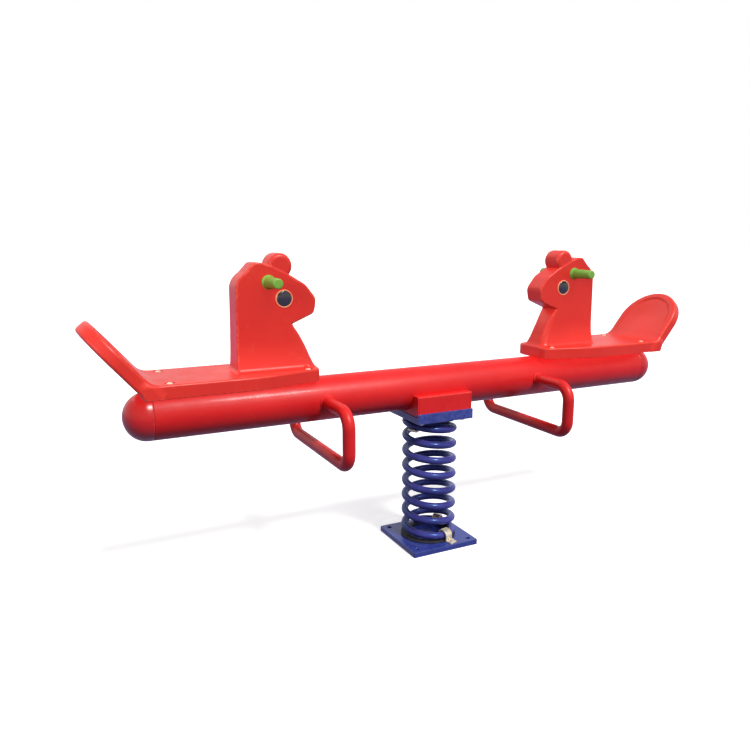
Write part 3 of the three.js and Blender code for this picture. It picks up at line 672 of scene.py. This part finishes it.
def clip_outline(wire_height):
    inner, outer = CLIP_INNER, CLIP_INNER + CLIP_THICK
    far = inner + CLIP_FOOT
    arc = np.linspace(0, CLIP_HOOK_END, 26)
    outside = [(outer * math.cos(a), wire_height + outer * math.sin(a)) for a in arc]
    inside = [(inner * math.cos(a), wire_height + inner * math.sin(a)) for a in arc[::-1]]
    foot = fillet([(outer, wire_height), (outer, CLIP_THICK), (far, CLIP_THICK), (far, 0), (inner, 0),
                   (inner, wire_height)], [0, 3.5, 0, 0, 4.5, 0], 6)
    return outside[::-1] + foot[1:-1] + inside[::-1]


def build_clips():
    for end, angles, body in (("lower", LOWER_CLIPS, "base"), ("upper", UPPER_CLIPS, "beam")):
        lower = end == "lower"
        plate_z = BASE_THICK + GAP if lower else TOP_LOW - GAP
        flip = np.array([1.0, 1.0, 1.0]) if lower else np.array([-1.0, 1.0, -1.0])
        for index, degrees in enumerate(angles, 1):
            first = ((COIL_START - math.radians(degrees)) / (2 * math.pi)) % 1
            turns = first if lower else first + math.floor(COIL_TURNS - first)
            wire_height = abs(float(coil_height(turns)) - plate_z)
            shape = prism(clip_outline(wire_height), -CLIP_HALF_WIDTH, CLIP_HALF_WIDTH, "Y")
            strap = new_object(f"{end}_clip_strap_{index}", *shape, ZINC)
            bevelled(strap, 0.9)
            drilled(strap, [(CLIP_BOLT_X, 0.0)], BOLT_HOLE, 0, CLIP_THICK, 0.4)
            shaded(strap, weighted=True)
            bolt = new_object(f"{end}_clip_hex_bolt_{index}", *hex_bolt(CLIP_BOLT_LENGTH, **M10_BOLT), ZINC)
            shaded(bolt, 28)
            move_points(bolt, np.eye(3), (CLIP_BOLT_X, 0, CLIP_THICK + GAP))
            cos, sin = math.cos(math.radians(degrees)), math.sin(math.radians(degrees))
            turn = np.array([[cos, -sin, 0], [sin, cos, 0], [0, 0, 1.0]])
            for obj, node in ((strap, f"{end}_spring_clip_{index}"), (bolt, f"{end}_clip_bolt_{index}")):
                shift = turn @ np.array([COIL_RADIUS, 0, 0]) + [0, 0, plate_z]
                move_points(obj, turn @ np.diag(flip), shift)
                settle(obj, body, "zinc", node)


def move_points(obj, turn, shift):
    """Turns and shifts a mesh in its own data, with its normals."""
    rows = [[*(float(v) for v in row), float(s) * MM] for row, s in zip(np.asarray(turn, float), shift)]
    obj.data.transform(Matrix((*rows, (0, 0, 0, 1))))


# ---------------- saddle and beam


def build_saddle():
    low, radius = TOP_LOW + TOP_THICK + GAP, BEAM_RADIUS + GAP
    outer, inner = SADDLE_HALF_WIDTH, SADDLE_HALF_WIDTH - SADDLE_CHEEK
    floor, lip = low + SADDLE_PLATE, SADDLE_TOP - SADDLE_CHEEK
    top_touch = math.sqrt(radius ** 2 - (BEAM_Z - SADDLE_TOP) ** 2)
    lip_touch = math.sqrt(radius ** 2 - (BEAM_Z - lip) ** 2)
    half = fillet([(0, low), (outer, low), (outer, SADDLE_TOP), (top_touch, SADDLE_TOP), (lip_touch, lip),
                   (inner, lip), (inner, floor), (0, floor)], [0, 5, 6, 0, 0, 3, 3, 0], 5)[1:-1]
    outline = half + [(-y, z) for y, z in half[::-1]]
    channel = new_object("saddle_channel_steel", *prism(outline, -SADDLE_HALF, SADDLE_HALF, "X"), RED)
    bevelled(channel, 1.2)
    drilled(channel, SADDLE_BOLTS, SADDLE_HOLE, low, floor, 0.5)
    shaded(channel, weighted=True)
    settle(channel, "beam", "red_paint", "saddle_channel")
    half_chord = math.asin((BEAM_Z - SADDLE_TOP) / radius)
    arc = np.linspace(-half_chord, -math.pi + half_chord, 49)
    cut = [(radius * math.cos(a), BEAM_Z + radius * math.sin(a)) for a in arc]
    face = fillet([(-top_touch, SADDLE_TOP), (-outer, SADDLE_TOP), (-outer, low), (outer, low),
                   (outer, SADDLE_TOP), (top_touch, SADDLE_TOP)], [0, 6, 5, 5, 6, 0], 5)[1:-1]
    for side, sign in SIDES.items():
        points, faces = prism(face + cut, SADDLE_HALF + GAP, SADDLE_HALF + GAP + SADDLE_PLATE, "X")
        plate = new_object(f"saddle_end_plate_{side}", turned(points, sign), faces, RED)
        bevelled(plate, 1.2)
        settle(shaded(plate, weighted=True), "beam", "red_paint", f"saddle_end_{side}")
    for index, (x, y) in enumerate(SADDLE_BOLTS, 1):
        bolt = new_object(f"saddle_hex_bolt_{index}", *hex_bolt(SADDLE_BOLT_LENGTH, **M12_BOLT), ZINC)
        shaded(bolt, 28)
        move_points(bolt, np.diag([1.0, -1.0, -1.0]), (x, y, TOP_LOW - GAP))
        settle(bolt, "beam", "zinc", f"saddle_bolt_{index}")
        shape = hex_head(M12_BOLT["across"], NUT_HEIGHT, True, NUT_BORE)
        nut = new_object(f"saddle_hex_nut_{index}", *shape, ZINC)
        shaded(nut, 28)
        move_points(nut, np.eye(3), (x, y, floor + GAP))
        settle(nut, "beam", "zinc", f"saddle_nut_{index}")


def along_x(points, sign):
    """Turns a shape made about Z so that its axis runs along the beam."""
    points = np.asarray(points, float)
    return np.stack([points[:, 2] * sign, points[:, 1], BEAM_Z - points[:, 0]], 1)


def build_beam():
    bore = BEAM_RADIUS - BEAM_WALL
    corners = rectangle(bore, -SEAM_X, BEAM_RADIUS, SEAM_X)
    points, faces = revolve(fillet(corners, 1.0, 3, True), 128, True)
    tube = new_object("round_beam", along_x(points, 1.0), faces, RED)
    settle(shaded(tube, 40), "beam", "red_paint", "beam_tube")
    spigot = bore - GAP
    start, end = SEAM_X + GAP, BEAM_END_X
    dome = end - start - CAP_COLLAR
    inside = spigot - CAP_WALL
    outline = [(spigot, start - SPIGOT), (spigot, start), (BEAM_RADIUS - 1.6, start)]
    outline += [(BEAM_RADIUS - 0.4, start + 0.7), (BEAM_RADIUS, start + 2.0),
                (BEAM_RADIUS, start + CAP_COLLAR * 0.6)]
    outline += [(BEAM_RADIUS * math.cos(a), start + CAP_COLLAR + dome * math.sin(a))
                for a in np.linspace(0, math.pi / 2, 30)[:-1]]
    inner = [(inside * math.cos(a), start + CAP_COLLAR + (dome - CAP_WALL) * math.sin(a))
             for a in np.linspace(math.pi / 2, 0, 14)[1:]]
    profile = [(0.0, end - CAP_WALL), *inner, (inside, start - SPIGOT + 1.0),
               (inside + 1.0, start - SPIGOT), *outline, (0.0, end)]
    for side, sign in SIDES.items():
        points, faces = revolve(profile, 128)
        cap = new_object(f"domed_cap_{side}", along_x(points, sign), faces, CAP)
        settle(shaded(cap, 40), "beam", "cap_plastic", f"end_cap_{side}")


# ---------------- foot loops


def loop_half():
    """The foot loop's centre line on the +Y side, from the beam down to the middle of the bar."""
    top, low = LOOP_TOP_BEND, LOOP_LOW_BEND
    line = [(y, BEAM_Z) for y in np.linspace(84.0, LOOP_HALF - top, 8)]
    line += [(LOOP_HALF - top + top * math.sin(a), BEAM_Z - top + top * math.cos(a))
             for a in np.linspace(0, math.pi / 2, 18)[1:]]
    line += [(LOOP_HALF, z) for z in np.linspace(BEAM_Z - top, LOOP_BAR_Z + low, 8)[1:]]
    line += [(LOOP_HALF - low + low * math.cos(a), LOOP_BAR_Z + low - low * math.sin(a))
             for a in np.linspace(0, math.pi / 2, 18)[1:]]
    line += [(y, LOOP_BAR_Z) for y in np.linspace(LOOP_HALF - low, 0, 12)[1:]]
    return np.array(line)


def loop_tube(radius, sides):
    """Rings of the bent tube, the first and last cut to meet the round beam."""
    half = loop_half()
    far = np.stack([np.full(len(half), LOOP_X), half[:, 0], half[:, 1]], 1)
    near = far[::-1][1:] * np.array([1.0, -1.0, 1.0])
    path = np.concatenate([far, near])
    rings = sweep_rings(path, (1.0, 0.0, 0.0), circle(radius, sides))
    for end, sign in ((0, 1.0), (-1, -1.0)):
        root = rings[end].copy()
        height = root[:, 2] - BEAM_Z
        root[:, 1] = sign * np.sqrt((BEAM_RADIUS + GAP) ** 2 - height ** 2)
        rings = np.concatenate([root[None], rings]) if end == 0 else np.concatenate([rings, root[None]])
    return rings


def build_foot_loops():
    sides = 32
    outer, bore = loop_tube(LOOP_RADIUS, sides), loop_tube(LOOP_BORE, sides)
    rows = len(outer)
    points = np.concatenate([outer.reshape(-1, 3), bore[::-1].reshape(-1, 3)])
    tube = (points, grid_faces(2 * rows, sides, loop=True))
    angles = np.linspace(0, 2 * math.pi, 145)
    parts = [tube]
    for sign in (1.0, -1.0):
        radius = LOOP_RADIUS + 0.6
        height = radius * np.sin(angles)
        across = sign * np.sqrt((BEAM_RADIUS + 0.8) ** 2 - height ** 2)
        seam = np.stack([LOOP_X + radius * np.cos(angles), across, BEAM_Z + height], 1)
        outward = np.stack([np.cos(angles), np.zeros_like(angles), np.sin(angles)], 1)
        parts.append(bead(seam[:-1], outward[:-1], WELD_RADIUS, WELD_RIPPLE))
    points, faces = join_parts(*parts)
    for side, sign in SIDES.items():
        loop = new_object(f"bent_foot_loop_{side}", turned(points, sign), faces, RED)
        settle(shaded(loop, 50), "beam", "red_paint", f"foot_loop_{side}")


# ---------------- moulded seat, as a signed distance field


def curve(steps, *controls):
    """Points along a Bezier curve, without its first."""
    t = np.linspace(0, 1, steps + 1)[1:, None]
    degree = len(controls) - 1
    return sum(math.comb(degree, k) * (1 - t) ** (degree - k) * t ** k * np.array(point, float)
               for k, point in enumerate(controls)).tolist()


def slab_outline(inset, rear):
    """Plan of the seat slab as (x, y)."""
    wide, narrow, front = SEAT_HALF - inset, CHEST_HALF - inset, SEAT_FRONT + inset
    half = [(rear, wide), (650.0, wide)]
    half += curve(14, (650, wide), (590, wide), (520, narrow + 12), (455, narrow))
    half += curve(10, (455, narrow), (front, narrow - 6), (front, narrow - 36))
    return half + [(x, -y) for x, y in half[::-1]]


def head_outline(i):
    """Side view of the neck and head as (x, z), set in by i, without the crown knob."""
    line = [(670 - i, SEAT_Z - 30), (666 - i, 895)]
    line += curve(6, (666 - i, 895), (665 - i, 925 - i), (638 - i, 942 - i))
    line += [(612 - i / 2, 968 - i)]
    line += curve(6, (612 - i / 2, 968 - i), (594, 973 - i), (566, 962 - i))
    line += [(497 + i * 0.6, 930 - i)]
    muzzle = [(480, 919), (451 + i * 0.8, 900 - i), (422 + i, 860), (430 + i, 816 + i),
              (500 + i, 789 + i * 0.4)]
    line += fillet(muzzle, [0, 9, 12, 9, 0], 4)[1:]
    line += curve(10, (500 + i, 786), (460 + i, 740), (446 + i, 695))
    line += [(432 + i, 662), (430 + i, SEAT_Z - 30)]
    return line


def outline_distance(px, py, outline):
    """Distance to a closed outline, negative inside."""
    px, py = np.broadcast_arrays(px, py)
    nearest = np.full(px.shape, 1e9)
    inside = np.zeros(px.shape, bool)
    for (ax, ay), (bx, by) in zip(outline, outline[1:] + outline[:1]):
        ex, ey = bx - ax, by - ay
        length = ex * ex + ey * ey
        if length < 1e-9:
            continue
        wx, wy = px - ax, py - ay
        t = np.clip((wx * ex + wy * ey) / length, 0, 1)
        nearest = np.minimum(nearest, (wx - ex * t) ** 2 + (wy - ey * t) ** 2)
        if ey:
            inside ^= ((ay > py) != (by > py)) & (wx < ex * wy / ey)
    return np.where(inside, -1.0, 1.0) * np.sqrt(nearest)


def rounded(across, along, radius):
    """Two distances met as an outer edge of this radius."""
    a, b = across + radius, along + radius
    return np.minimum(np.maximum(a, b), 0) + np.hypot(np.maximum(a, 0), np.maximum(b, 0)) - radius


def merged(a, b, blend):
    h = np.clip(0.5 + 0.5 * (b - a) / blend, 0, 1)
    return b * (1 - h) + a * h - blend * h * (1 - h)


def merged_max(a, b, blend):
    return -merged(-a, -b, blend)


def cut_from(body, tool, blend):
    return merged_max(body, -tool, blend)


def smooth_step(value, low, high):
    t = np.clip((value - low) / (high - low), 0, 1)
    return t * t * (3 - 2 * t)


def back_field(x, y, z):
    """The leaning backrest with its pressed dish and the rim round it."""
    cos, sin = math.cos(BACK_ANGLE), math.sin(BACK_ANGLE)
    up = (x - CREASE_X) * cos + (z - SEAT_Z) * sin
    out = (x - CREASE_X) * sin - (z - SEAT_Z) * cos
    radius = SEAT_HALF - 1.0
    straight = BACK_LENGTH - radius
    outline = np.where(up > straight, np.hypot(y, up - straight), np.abs(y)) - radius
    dish = 5.0 * smooth_step(-outline, 22.0, 31.0) + 4.5 * smooth_step(-outline, 28.0, 95.0)
    dish = dish * smooth_step(up, 8.0, 120.0)
    faces = np.maximum(dish - out, out - BACK_THICK)
    plate = rounded(outline, faces, 10.0)
    plate = merged_max(plate, SEAT_LOW - z, 5.0)
    return np.maximum(plate, CREASE_X - 20.0 - x)


def seat_field(x, y, z):
    """Signed distance to the whole one-piece seat, in millimetres."""
    slab_side = outline_distance(x, y, slab_outline(3.0, CREASE_X + 18)) - 3.0
    top = rounded(slab_side, z - SEAT_Z, 6.0)
    slab = np.maximum(top, SEAT_LOW - z)
    flare = np.clip((SEAT_Z + 84 - z) / 84, 0, 1.15)
    half_width = HEAD_HALF + 13.0 * flare ** 2
    profile = outline_distance(x, z, head_outline(4.0)) - 4.0
    softness = 5.0 + 17.0 * smooth_step(-z, -800.0, -725.0) * smooth_step(-x, -600.0, -500.0)
    head = rounded(profile, np.abs(y) - half_width, softness)
    knob_round = np.hypot(x - KNOB_X, z - KNOB_Z) - KNOB_RADIUS
    knob = rounded(knob_round, np.abs(y) - KNOB_HALF, 13.0)
    head = merged(head, knob, 3.0)
    head = np.maximum(head, SEAT_LOW + 4.0 - z)
    solid = merged(slab, back_field(x, y, z), 20.0)
    solid = np.maximum(solid, SEAT_LOW - z)
    solid = merged(solid, head, 13.0)
    ceiling = SEAT_Z - SEAT_WALL
    hollow = rounded(outline_distance(x, y, slab_outline(SEAT_WALL, CREASE_X - 4)), z - ceiling, 4.0)
    for bolt_x, bolt_y in SEAT_BOLTS.values():
        boss = np.hypot(x - bolt_x, np.abs(y) - bolt_y) - BOSS_RADIUS
        boss = np.maximum(boss, BAR_LOW + BAR_THICK + GAP - z)
        hollow = cut_from(hollow, boss, 5.0)
    core = outline_distance(x, z, head_outline(HEAD_WALL))
    core = rounded(core, np.abs(y) - (half_width - HEAD_WALL), 6.0)
    solid = cut_from(solid, merged(hollow, core, 4.0), 1.2)
    for bolt_x, bolt_y in SEAT_BOLTS.values():
        reach = np.hypot(x - bolt_x, np.abs(y) - bolt_y)
        recess = rounded(reach - RECESS_RADIUS, SEAT_Z - RECESS_DEPTH - z, 1.0)
        solid = cut_from(solid, recess, 2.2)
        solid = np.maximum(solid, BOLT_HOLE - reach)
    bore = HANDLE_RADIUS + 0.8 - np.hypot(x - HANDLE_X, z - HANDLE_Z)
    return np.maximum(solid, bore)


def stations(low, high, coarse, fine):
    """Grid lines from low to high, closer together inside the fine spans (start, end, step)."""
    lines, here = [low], low
    while here < high:
        step = coarse
        for start, end, small in fine:
            if start - coarse < here < end:
                step = min(step, small)
        here += step
        lines.append(here)
    return np.array(lines)


def surface_net(xs, ys, zs, values):
    """Dual mesh of the zero surface on a rectilinear grid."""
    inside = values < 0
    shape = tuple(n - 1 for n in values.shape)

    def corner(array, i, j, k):
        return array[i:i + shape[0], j:j + shape[1], k:k + shape[2]]

    filled = sum(corner(inside, i, j, k).astype(np.int8) for i in (0, 1) for j in (0, 1) for k in (0, 1))
    cell_x, cell_y, cell_z = np.nonzero((filled > 0) & (filled < 8))
    index = np.full(shape, -1, np.int64)
    index[cell_x, cell_y, cell_z] = np.arange(len(cell_x))
    total, count = np.zeros((len(cell_x), 3)), np.zeros(len(cell_x))
    grid = (xs, ys, zs)
    cell = (cell_x, cell_y, cell_z)
    for axis in range(3):
        others = [a for a in range(3) if a != axis]
        for first in (0, 1):
            for second in (0, 1):
                low = [c.copy() for c in cell]
                low[others[0]] += first
                low[others[1]] += second
                high = [c.copy() for c in low]
                high[axis] += 1
                a, b = values[tuple(low)], values[tuple(high)]
                crosses = (a < 0) != (b < 0)
                share = np.where(crosses, a / np.where(crosses, a - b, 1.0), 0.0)
                start = np.stack([grid[n][low[n]] for n in range(3)], 1)
                end = np.stack([grid[n][high[n]] for n in range(3)], 1)
                total += (start + (end - start) * share[:, None]) * crosses[:, None]
                count += crosses
    points = total / count[:, None]
    quads = []
    for axis in range(3):
        others = [(axis + 1) % 3, (axis + 2) % 3]
        ahead = [slice(None)] * 3
        behind = [slice(None)] * 3
        ahead[axis], behind[axis] = slice(1, None), slice(None, -1)
        low, high = inside[tuple(behind)], inside[tuple(ahead)]
        edge = np.nonzero(low != high)
        keep = np.ones(len(edge[0]), bool)
        for other in others:
            keep &= (edge[other] > 0) & (edge[other] < values.shape[other] - 1)
        edge = [e[keep] for e in edge]
        leaving = low[tuple(edge)]
        around = []
        for first, second in ((-1, -1), (0, -1), (0, 0), (-1, 0)):
            at = [e.copy() for e in edge]
            at[others[0]] += first
            at[others[1]] += second
            around.append(index[tuple(at)])
        quad = np.stack(around, 1)
        quad[~leaving] = quad[~leaving][:, ::-1]
        quads.append(quad)
    return points, np.concatenate(quads)


def field_gradient(points, step=0.15):
    x, y, z = points.T
    here = seat_field(x, y, z)
    slopes = [(seat_field(x + (a == 0) * step, y + (a == 1) * step, z + (a == 2) * step) - here) / step
              for a in range(3)]
    return here, np.stack(slopes, 1)


def seat_mesh():
    """Points, faces and normals of the right-hand seat."""
    around = 19
    centres = SEAT_BOLTS["front"], SEAT_BOLTS["rear"]
    xs = stations(416.0, 1086.0, 4.0, [(x - around, x + around, 1.6) for x, _ in centres])
    half = stations(0.0, 132.0, 4.0, [(y - around, y + around, 1.8) for _, y in centres])
    ys = np.concatenate([-half[:0:-1], half]) + 0.37
    zs = stations(612.0, 1002.0, 4.0, [(615.0, 660.0, 1.7)])
    values = seat_field(xs[:, None, None], ys[None, :, None], zs[None, None, :])
    points, quads = surface_net(xs, ys, zs, values)
    for _ in range(3):
        distance, slope = field_gradient(points)
        move = distance[:, None] * slope / np.maximum((slope ** 2).sum(1), 0.2)[:, None]
        size = np.linalg.norm(move, axis=1)
        points -= move * np.minimum(1.0, 1.2 / np.maximum(size, 1e-9))[:, None]
    slope = field_gradient(points)[1]
    normals = slope / np.maximum(np.linalg.norm(slope, axis=1), 1e-9)[:, None]
    return points, quads, normals


def build_seats():
    points, quads, normals = seat_mesh()
    faces = [tuple(int(i) for i in quad) for quad in quads]
    for side, sign in SIDES.items():
        seat = new_object(f"moulded_seat_{side}", turned(points, sign), faces, SEAT, tidy=False)
        seat.data.polygons.foreach_set("use_smooth", [True] * len(faces))
        seat.data.normals_split_custom_set_from_vertices(turned(normals, sign).tolist())
        settle(seat, "beam", "seat_plastic", f"seat_{side}")


# ---------------- seat fixings, grips and eyes


def around_y(points, direction, x, z):
    """Turns a shape made about Z so that its axis points across the beam, centred on (x, z)."""
    points = np.asarray(points, float)
    return np.stack([x + points[:, 0], points[:, 2] * direction, z - points[:, 1] * direction], 1)


def build_seat_fixings():
    for side, sign in SIDES.items():
        for row, (x, y) in SEAT_BOLTS.items():
            reach = y + BAR_OVERHANG
            outline = fillet(rectangle(x - BAR_HALF, -reach, x + BAR_HALF, reach), 4.0, 5, True)
            high = BAR_LOW + BAR_THICK
            bar = new_object(f"flat_cross_bar_{row}_{side}", *prism(outline, BAR_LOW, high, "Z"), RED)
            bevelled(bar, 1.0)
            drilled(bar, [(x, -y), (x, y)], BOLT_HOLE, BAR_LOW, high, 0.5)
            shaded(bar, weighted=True)
            move_points(bar, np.diag([sign, sign, 1.0]), (0, 0, 0))
            settle(bar, "beam", "red_paint", f"seat_bar_{row}_{side}")
            low = SEAT_Z - RECESS_DEPTH + GAP
            shank, head = SEAT_BOLT_RADIUS, SEAT_BOLT_HEAD
            profile = [(0, SEAT_BOLT_TIP), (shank - 0.8, SEAT_BOLT_TIP), (shank, SEAT_BOLT_TIP + 1.0)]
            profile += [(shank, low), (head, low), (head, low + 0.9)]
            profile += [(head * math.cos(a), low + 0.9 + 5.4 * math.sin(a))
                        for a in np.linspace(0.12, 1.5, 12)]
            profile.append((0, low + 6.3))
            for hand, place in (("a", -y), ("b", y)):
                points, faces = revolve(profile, 48)
                points = turned(points + np.array([x, place, 0.0]), sign)
                bolt = new_object(f"domed_seat_bolt_{row}_{hand}_{side}", points, faces, ZINC)
                settle(shaded(bolt, 45), "beam", "zinc", f"seat_bolt_{row}_{hand}_{side}")


def build_handles():
    half = HANDLE_HALF
    rod = fillet(rectangle(0, -half, HANDLE_RADIUS, half), 1.2, 3)
    start = HEAD_HALF + GAP
    inner = HANDLE_RADIUS + 0.8
    collar = COLLAR_RADIUS
    sleeve = fillet([(collar, start), (collar, start + 5.4), (16.2, start + 9.5), (14.9, GRIP_END),
                     (0, GRIP_END)], [0, 1.8, 3.0, 4.5, 0], 6)
    grip = [(0, half + GAP), (inner, half + GAP), (inner, start), (collar - 1.0, start),
            (collar, start + 1.0), *sleeve[1:]]
    rim = EYE_RADIUS
    disc = [(0, start), (rim - 0.8, start), (rim, start + 0.7), (rim, start + 1.8)]
    disc += [(rim - 0.5, start + 2.6), (rim - 1.5, start + 3.0), (rim - 3.2, start + 2.7),
             (rim - EYE_RING_WIDTH, start + 2.0)]
    dome = [((rim - 4.2) * math.cos(a), start + 1.9 + 3.3 * math.sin(a))
            for a in np.linspace(0.05, 1.45, 14)]
    eye = [*disc, *dome, (0, start + 5.2)]
    for side, sign in SIDES.items():
        points, faces = revolve(rod, 40)
        points = turned(around_y(points, 1, HANDLE_X, HANDLE_Z), sign)
        bar = new_object(f"handle_rod_{side}", points, faces, ZINC)
        settle(shaded(bar, 40), "beam", "zinc", f"handlebar_{side}")
        for hand, way in (("b", 1), ("a", -1)):
            points, faces = revolve(grip, 64)
            points = turned(around_y(points, way, HANDLE_X, HANDLE_Z), sign)
            cover = new_object(f"hand_grip_{hand}_{side}", points, faces, GREEN)
            settle(shaded(cover, 40), "beam", "grip_green", f"grip_{hand}_{side}")
            points, faces = revolve(eye, 64)
            points = turned(around_y(points, way, EYE_X, EYE_Z), sign)
            button = new_object(f"eye_button_{hand}_{side}", points, faces, [EYE, ORANGE])
            for polygon in button.data.polygons:
                x, _, z = polygon.center
                reach = math.hypot(x - sign * EYE_X * MM, z - EYE_Z * MM)
                polygon.material_index = 1 if reach > (EYE_RADIUS - EYE_RING_WIDTH) * MM else 0
            settle(shaded(button, 45), "beam", "eye_plastic", f"eye_{hand}_{side}")


# ---------------- studio


def build_floor():
    mesh = bpy.data.meshes.new("studio_floor")
    size = 40.0
    corners = [(-size, -size, 0), (size, -size, 0), (size, size, 0), (-size, size, 0)]
    mesh.from_pydata(corners, [], [(0, 1, 2, 3)])
    floor = linked("studio_floor", mesh)
    n = Nodes("studio floor")
    color = n.ramp(n.noise(1.5, 3.0), (0.3, srgb(244, 244, 246)), (0.7, srgb(250, 250, 251)))
    roughness = n.ramp(n.noise(6.0, 3.0), (0.3, 0.75), (0.7, 0.85))
    normal = n.bump(n.noise(60.0), 0.02, 0.001)
    mesh.materials.append(n.finish(color, roughness, normal, Specular_IOR_Level=0.2, Emission_Color=WHITE,
                                   Emission_Strength=0.45))
    floor.visible_diffuse = False
    floor.visible_glossy = False


def sky_ramp(tree, height, strength, stops):
    """A background whose colour runs from straight down (0) through the horizon (0.5) to straight up (1)."""
    ramp = tree.nodes.new("ShaderNodeValToRGB")
    tree.links.new(height, ramp.inputs["Fac"])
    set_stops(ramp, [(position, (*color, 1.0)) for position, color in stops])
    background = tree.nodes.new("ShaderNodeBackground")
    background.inputs["Strength"].default_value = strength
    tree.links.new(ramp.outputs["Color"], background.inputs["Color"])
    return background.outputs[0]


def build_world():
    world = bpy.data.worlds.new("studio")
    bpy.context.scene.world = world
    world.use_nodes = True
    tree = world.node_tree
    tree.nodes.clear()
    add, link = tree.nodes.new, tree.links.new
    split = add("ShaderNodeSeparateXYZ")
    link(add("ShaderNodeTexCoord").outputs["Generated"], split.inputs[0])
    height = add("ShaderNodeMapRange")
    height.inputs["From Min"].default_value = -1.0
    link(split.outputs["Z"], height.inputs["Value"])
    lit = sky_ramp(tree, height.outputs["Result"], 0.5, [
        (0.0, (0.03, 0.025, 0.04)), (0.47, (0.04, 0.035, 0.06)), (0.55, (0.5, 0.5, 0.54)),
        (1.0, (1.0, 1.0, 1.0))])
    mirrored = sky_ramp(tree, height.outputs["Result"], 1.0, [
        (0.0, (0.45, 0.45, 0.75)), (0.46, (0.5, 0.48, 0.8)), (0.52, (1.0, 1.0, 1.0)),
        (1.0, (0.35, 0.35, 0.4))])
    seen = add("ShaderNodeBackground")
    seen.inputs["Color"].default_value = WHITE
    path = add("ShaderNodeLightPath")
    source = lit
    for ray, background in (("Is Glossy Ray", mirrored), ("Is Camera Ray", seen.outputs[0])):
        mix = add("ShaderNodeMixShader")
        link(path.outputs[ray], mix.inputs["Fac"])
        link(source, mix.inputs[1])
        link(background, mix.inputs[2])
        source = mix.outputs[0]
    link(source, add("ShaderNodeOutputWorld").inputs["Surface"])


def sun_light(name, toward, degrees, strength):
    """A soft distant light that shines from the given direction."""
    light = bpy.data.lights.new(name, "SUN")
    light.angle = math.radians(degrees)
    light.energy = strength
    light.color = (1.0, 0.99, 0.97)
    obj = linked(name, light)
    obj.rotation_euler = (-Vector(toward)).to_track_quat("-Z", "Y").to_euler()
    return obj


def listed(name, link_state):
    """The moulded seats and what sits on them, as a list for a light to include or leave out."""
    group = bpy.data.collections.new(name)
    for obj in bpy.data.objects:
        if obj.name.startswith(("moulded_seat", "domed_seat_bolt", "flat_cross_bar", "hand_grip",
                                "handle_rod", "eye_button")):
            group.objects.link(obj)
    for entry in group.collection_objects:
        entry.light_linking.link_state = link_state
    return group


def build_camera():
    yaw, pitch = CAMERA_YAW, CAMERA_PITCH
    camera = bpy.data.cameras.new("camera")
    camera.sensor_width = 36.0
    camera.lens = camera.sensor_width * CAMERA_FOCAL / FRAME_WIDTH
    obj = linked("camera", camera)
    flat = math.cos(pitch)
    forward = Vector((math.sin(yaw) * flat, math.cos(yaw) * flat, -math.sin(pitch)))
    obj.location = CAMERA_PLACE
    obj.rotation_euler = forward.to_track_quat("-Z", "Y").to_euler()
    bpy.context.scene.camera = obj


def build_studio():
    build_floor()
    build_world()
    suns = {name: sun_light(name, *settings) for name, settings in SUNS.items()}
    suns["key"].light_linking.blocker_collection = listed("seats without shadow", "EXCLUDE")
    suns["seat light"].light_linking.receiver_collection = listed("seats", "INCLUDE")
    build_camera()
    bpy.context.scene.view_settings.view_transform = "Standard"


build_plates()
build_rings()
build_spring()
build_clips()
build_saddle()
build_beam()
build_foot_loops()
build_seats()
build_seat_fixings()
build_handles()
build_studio()
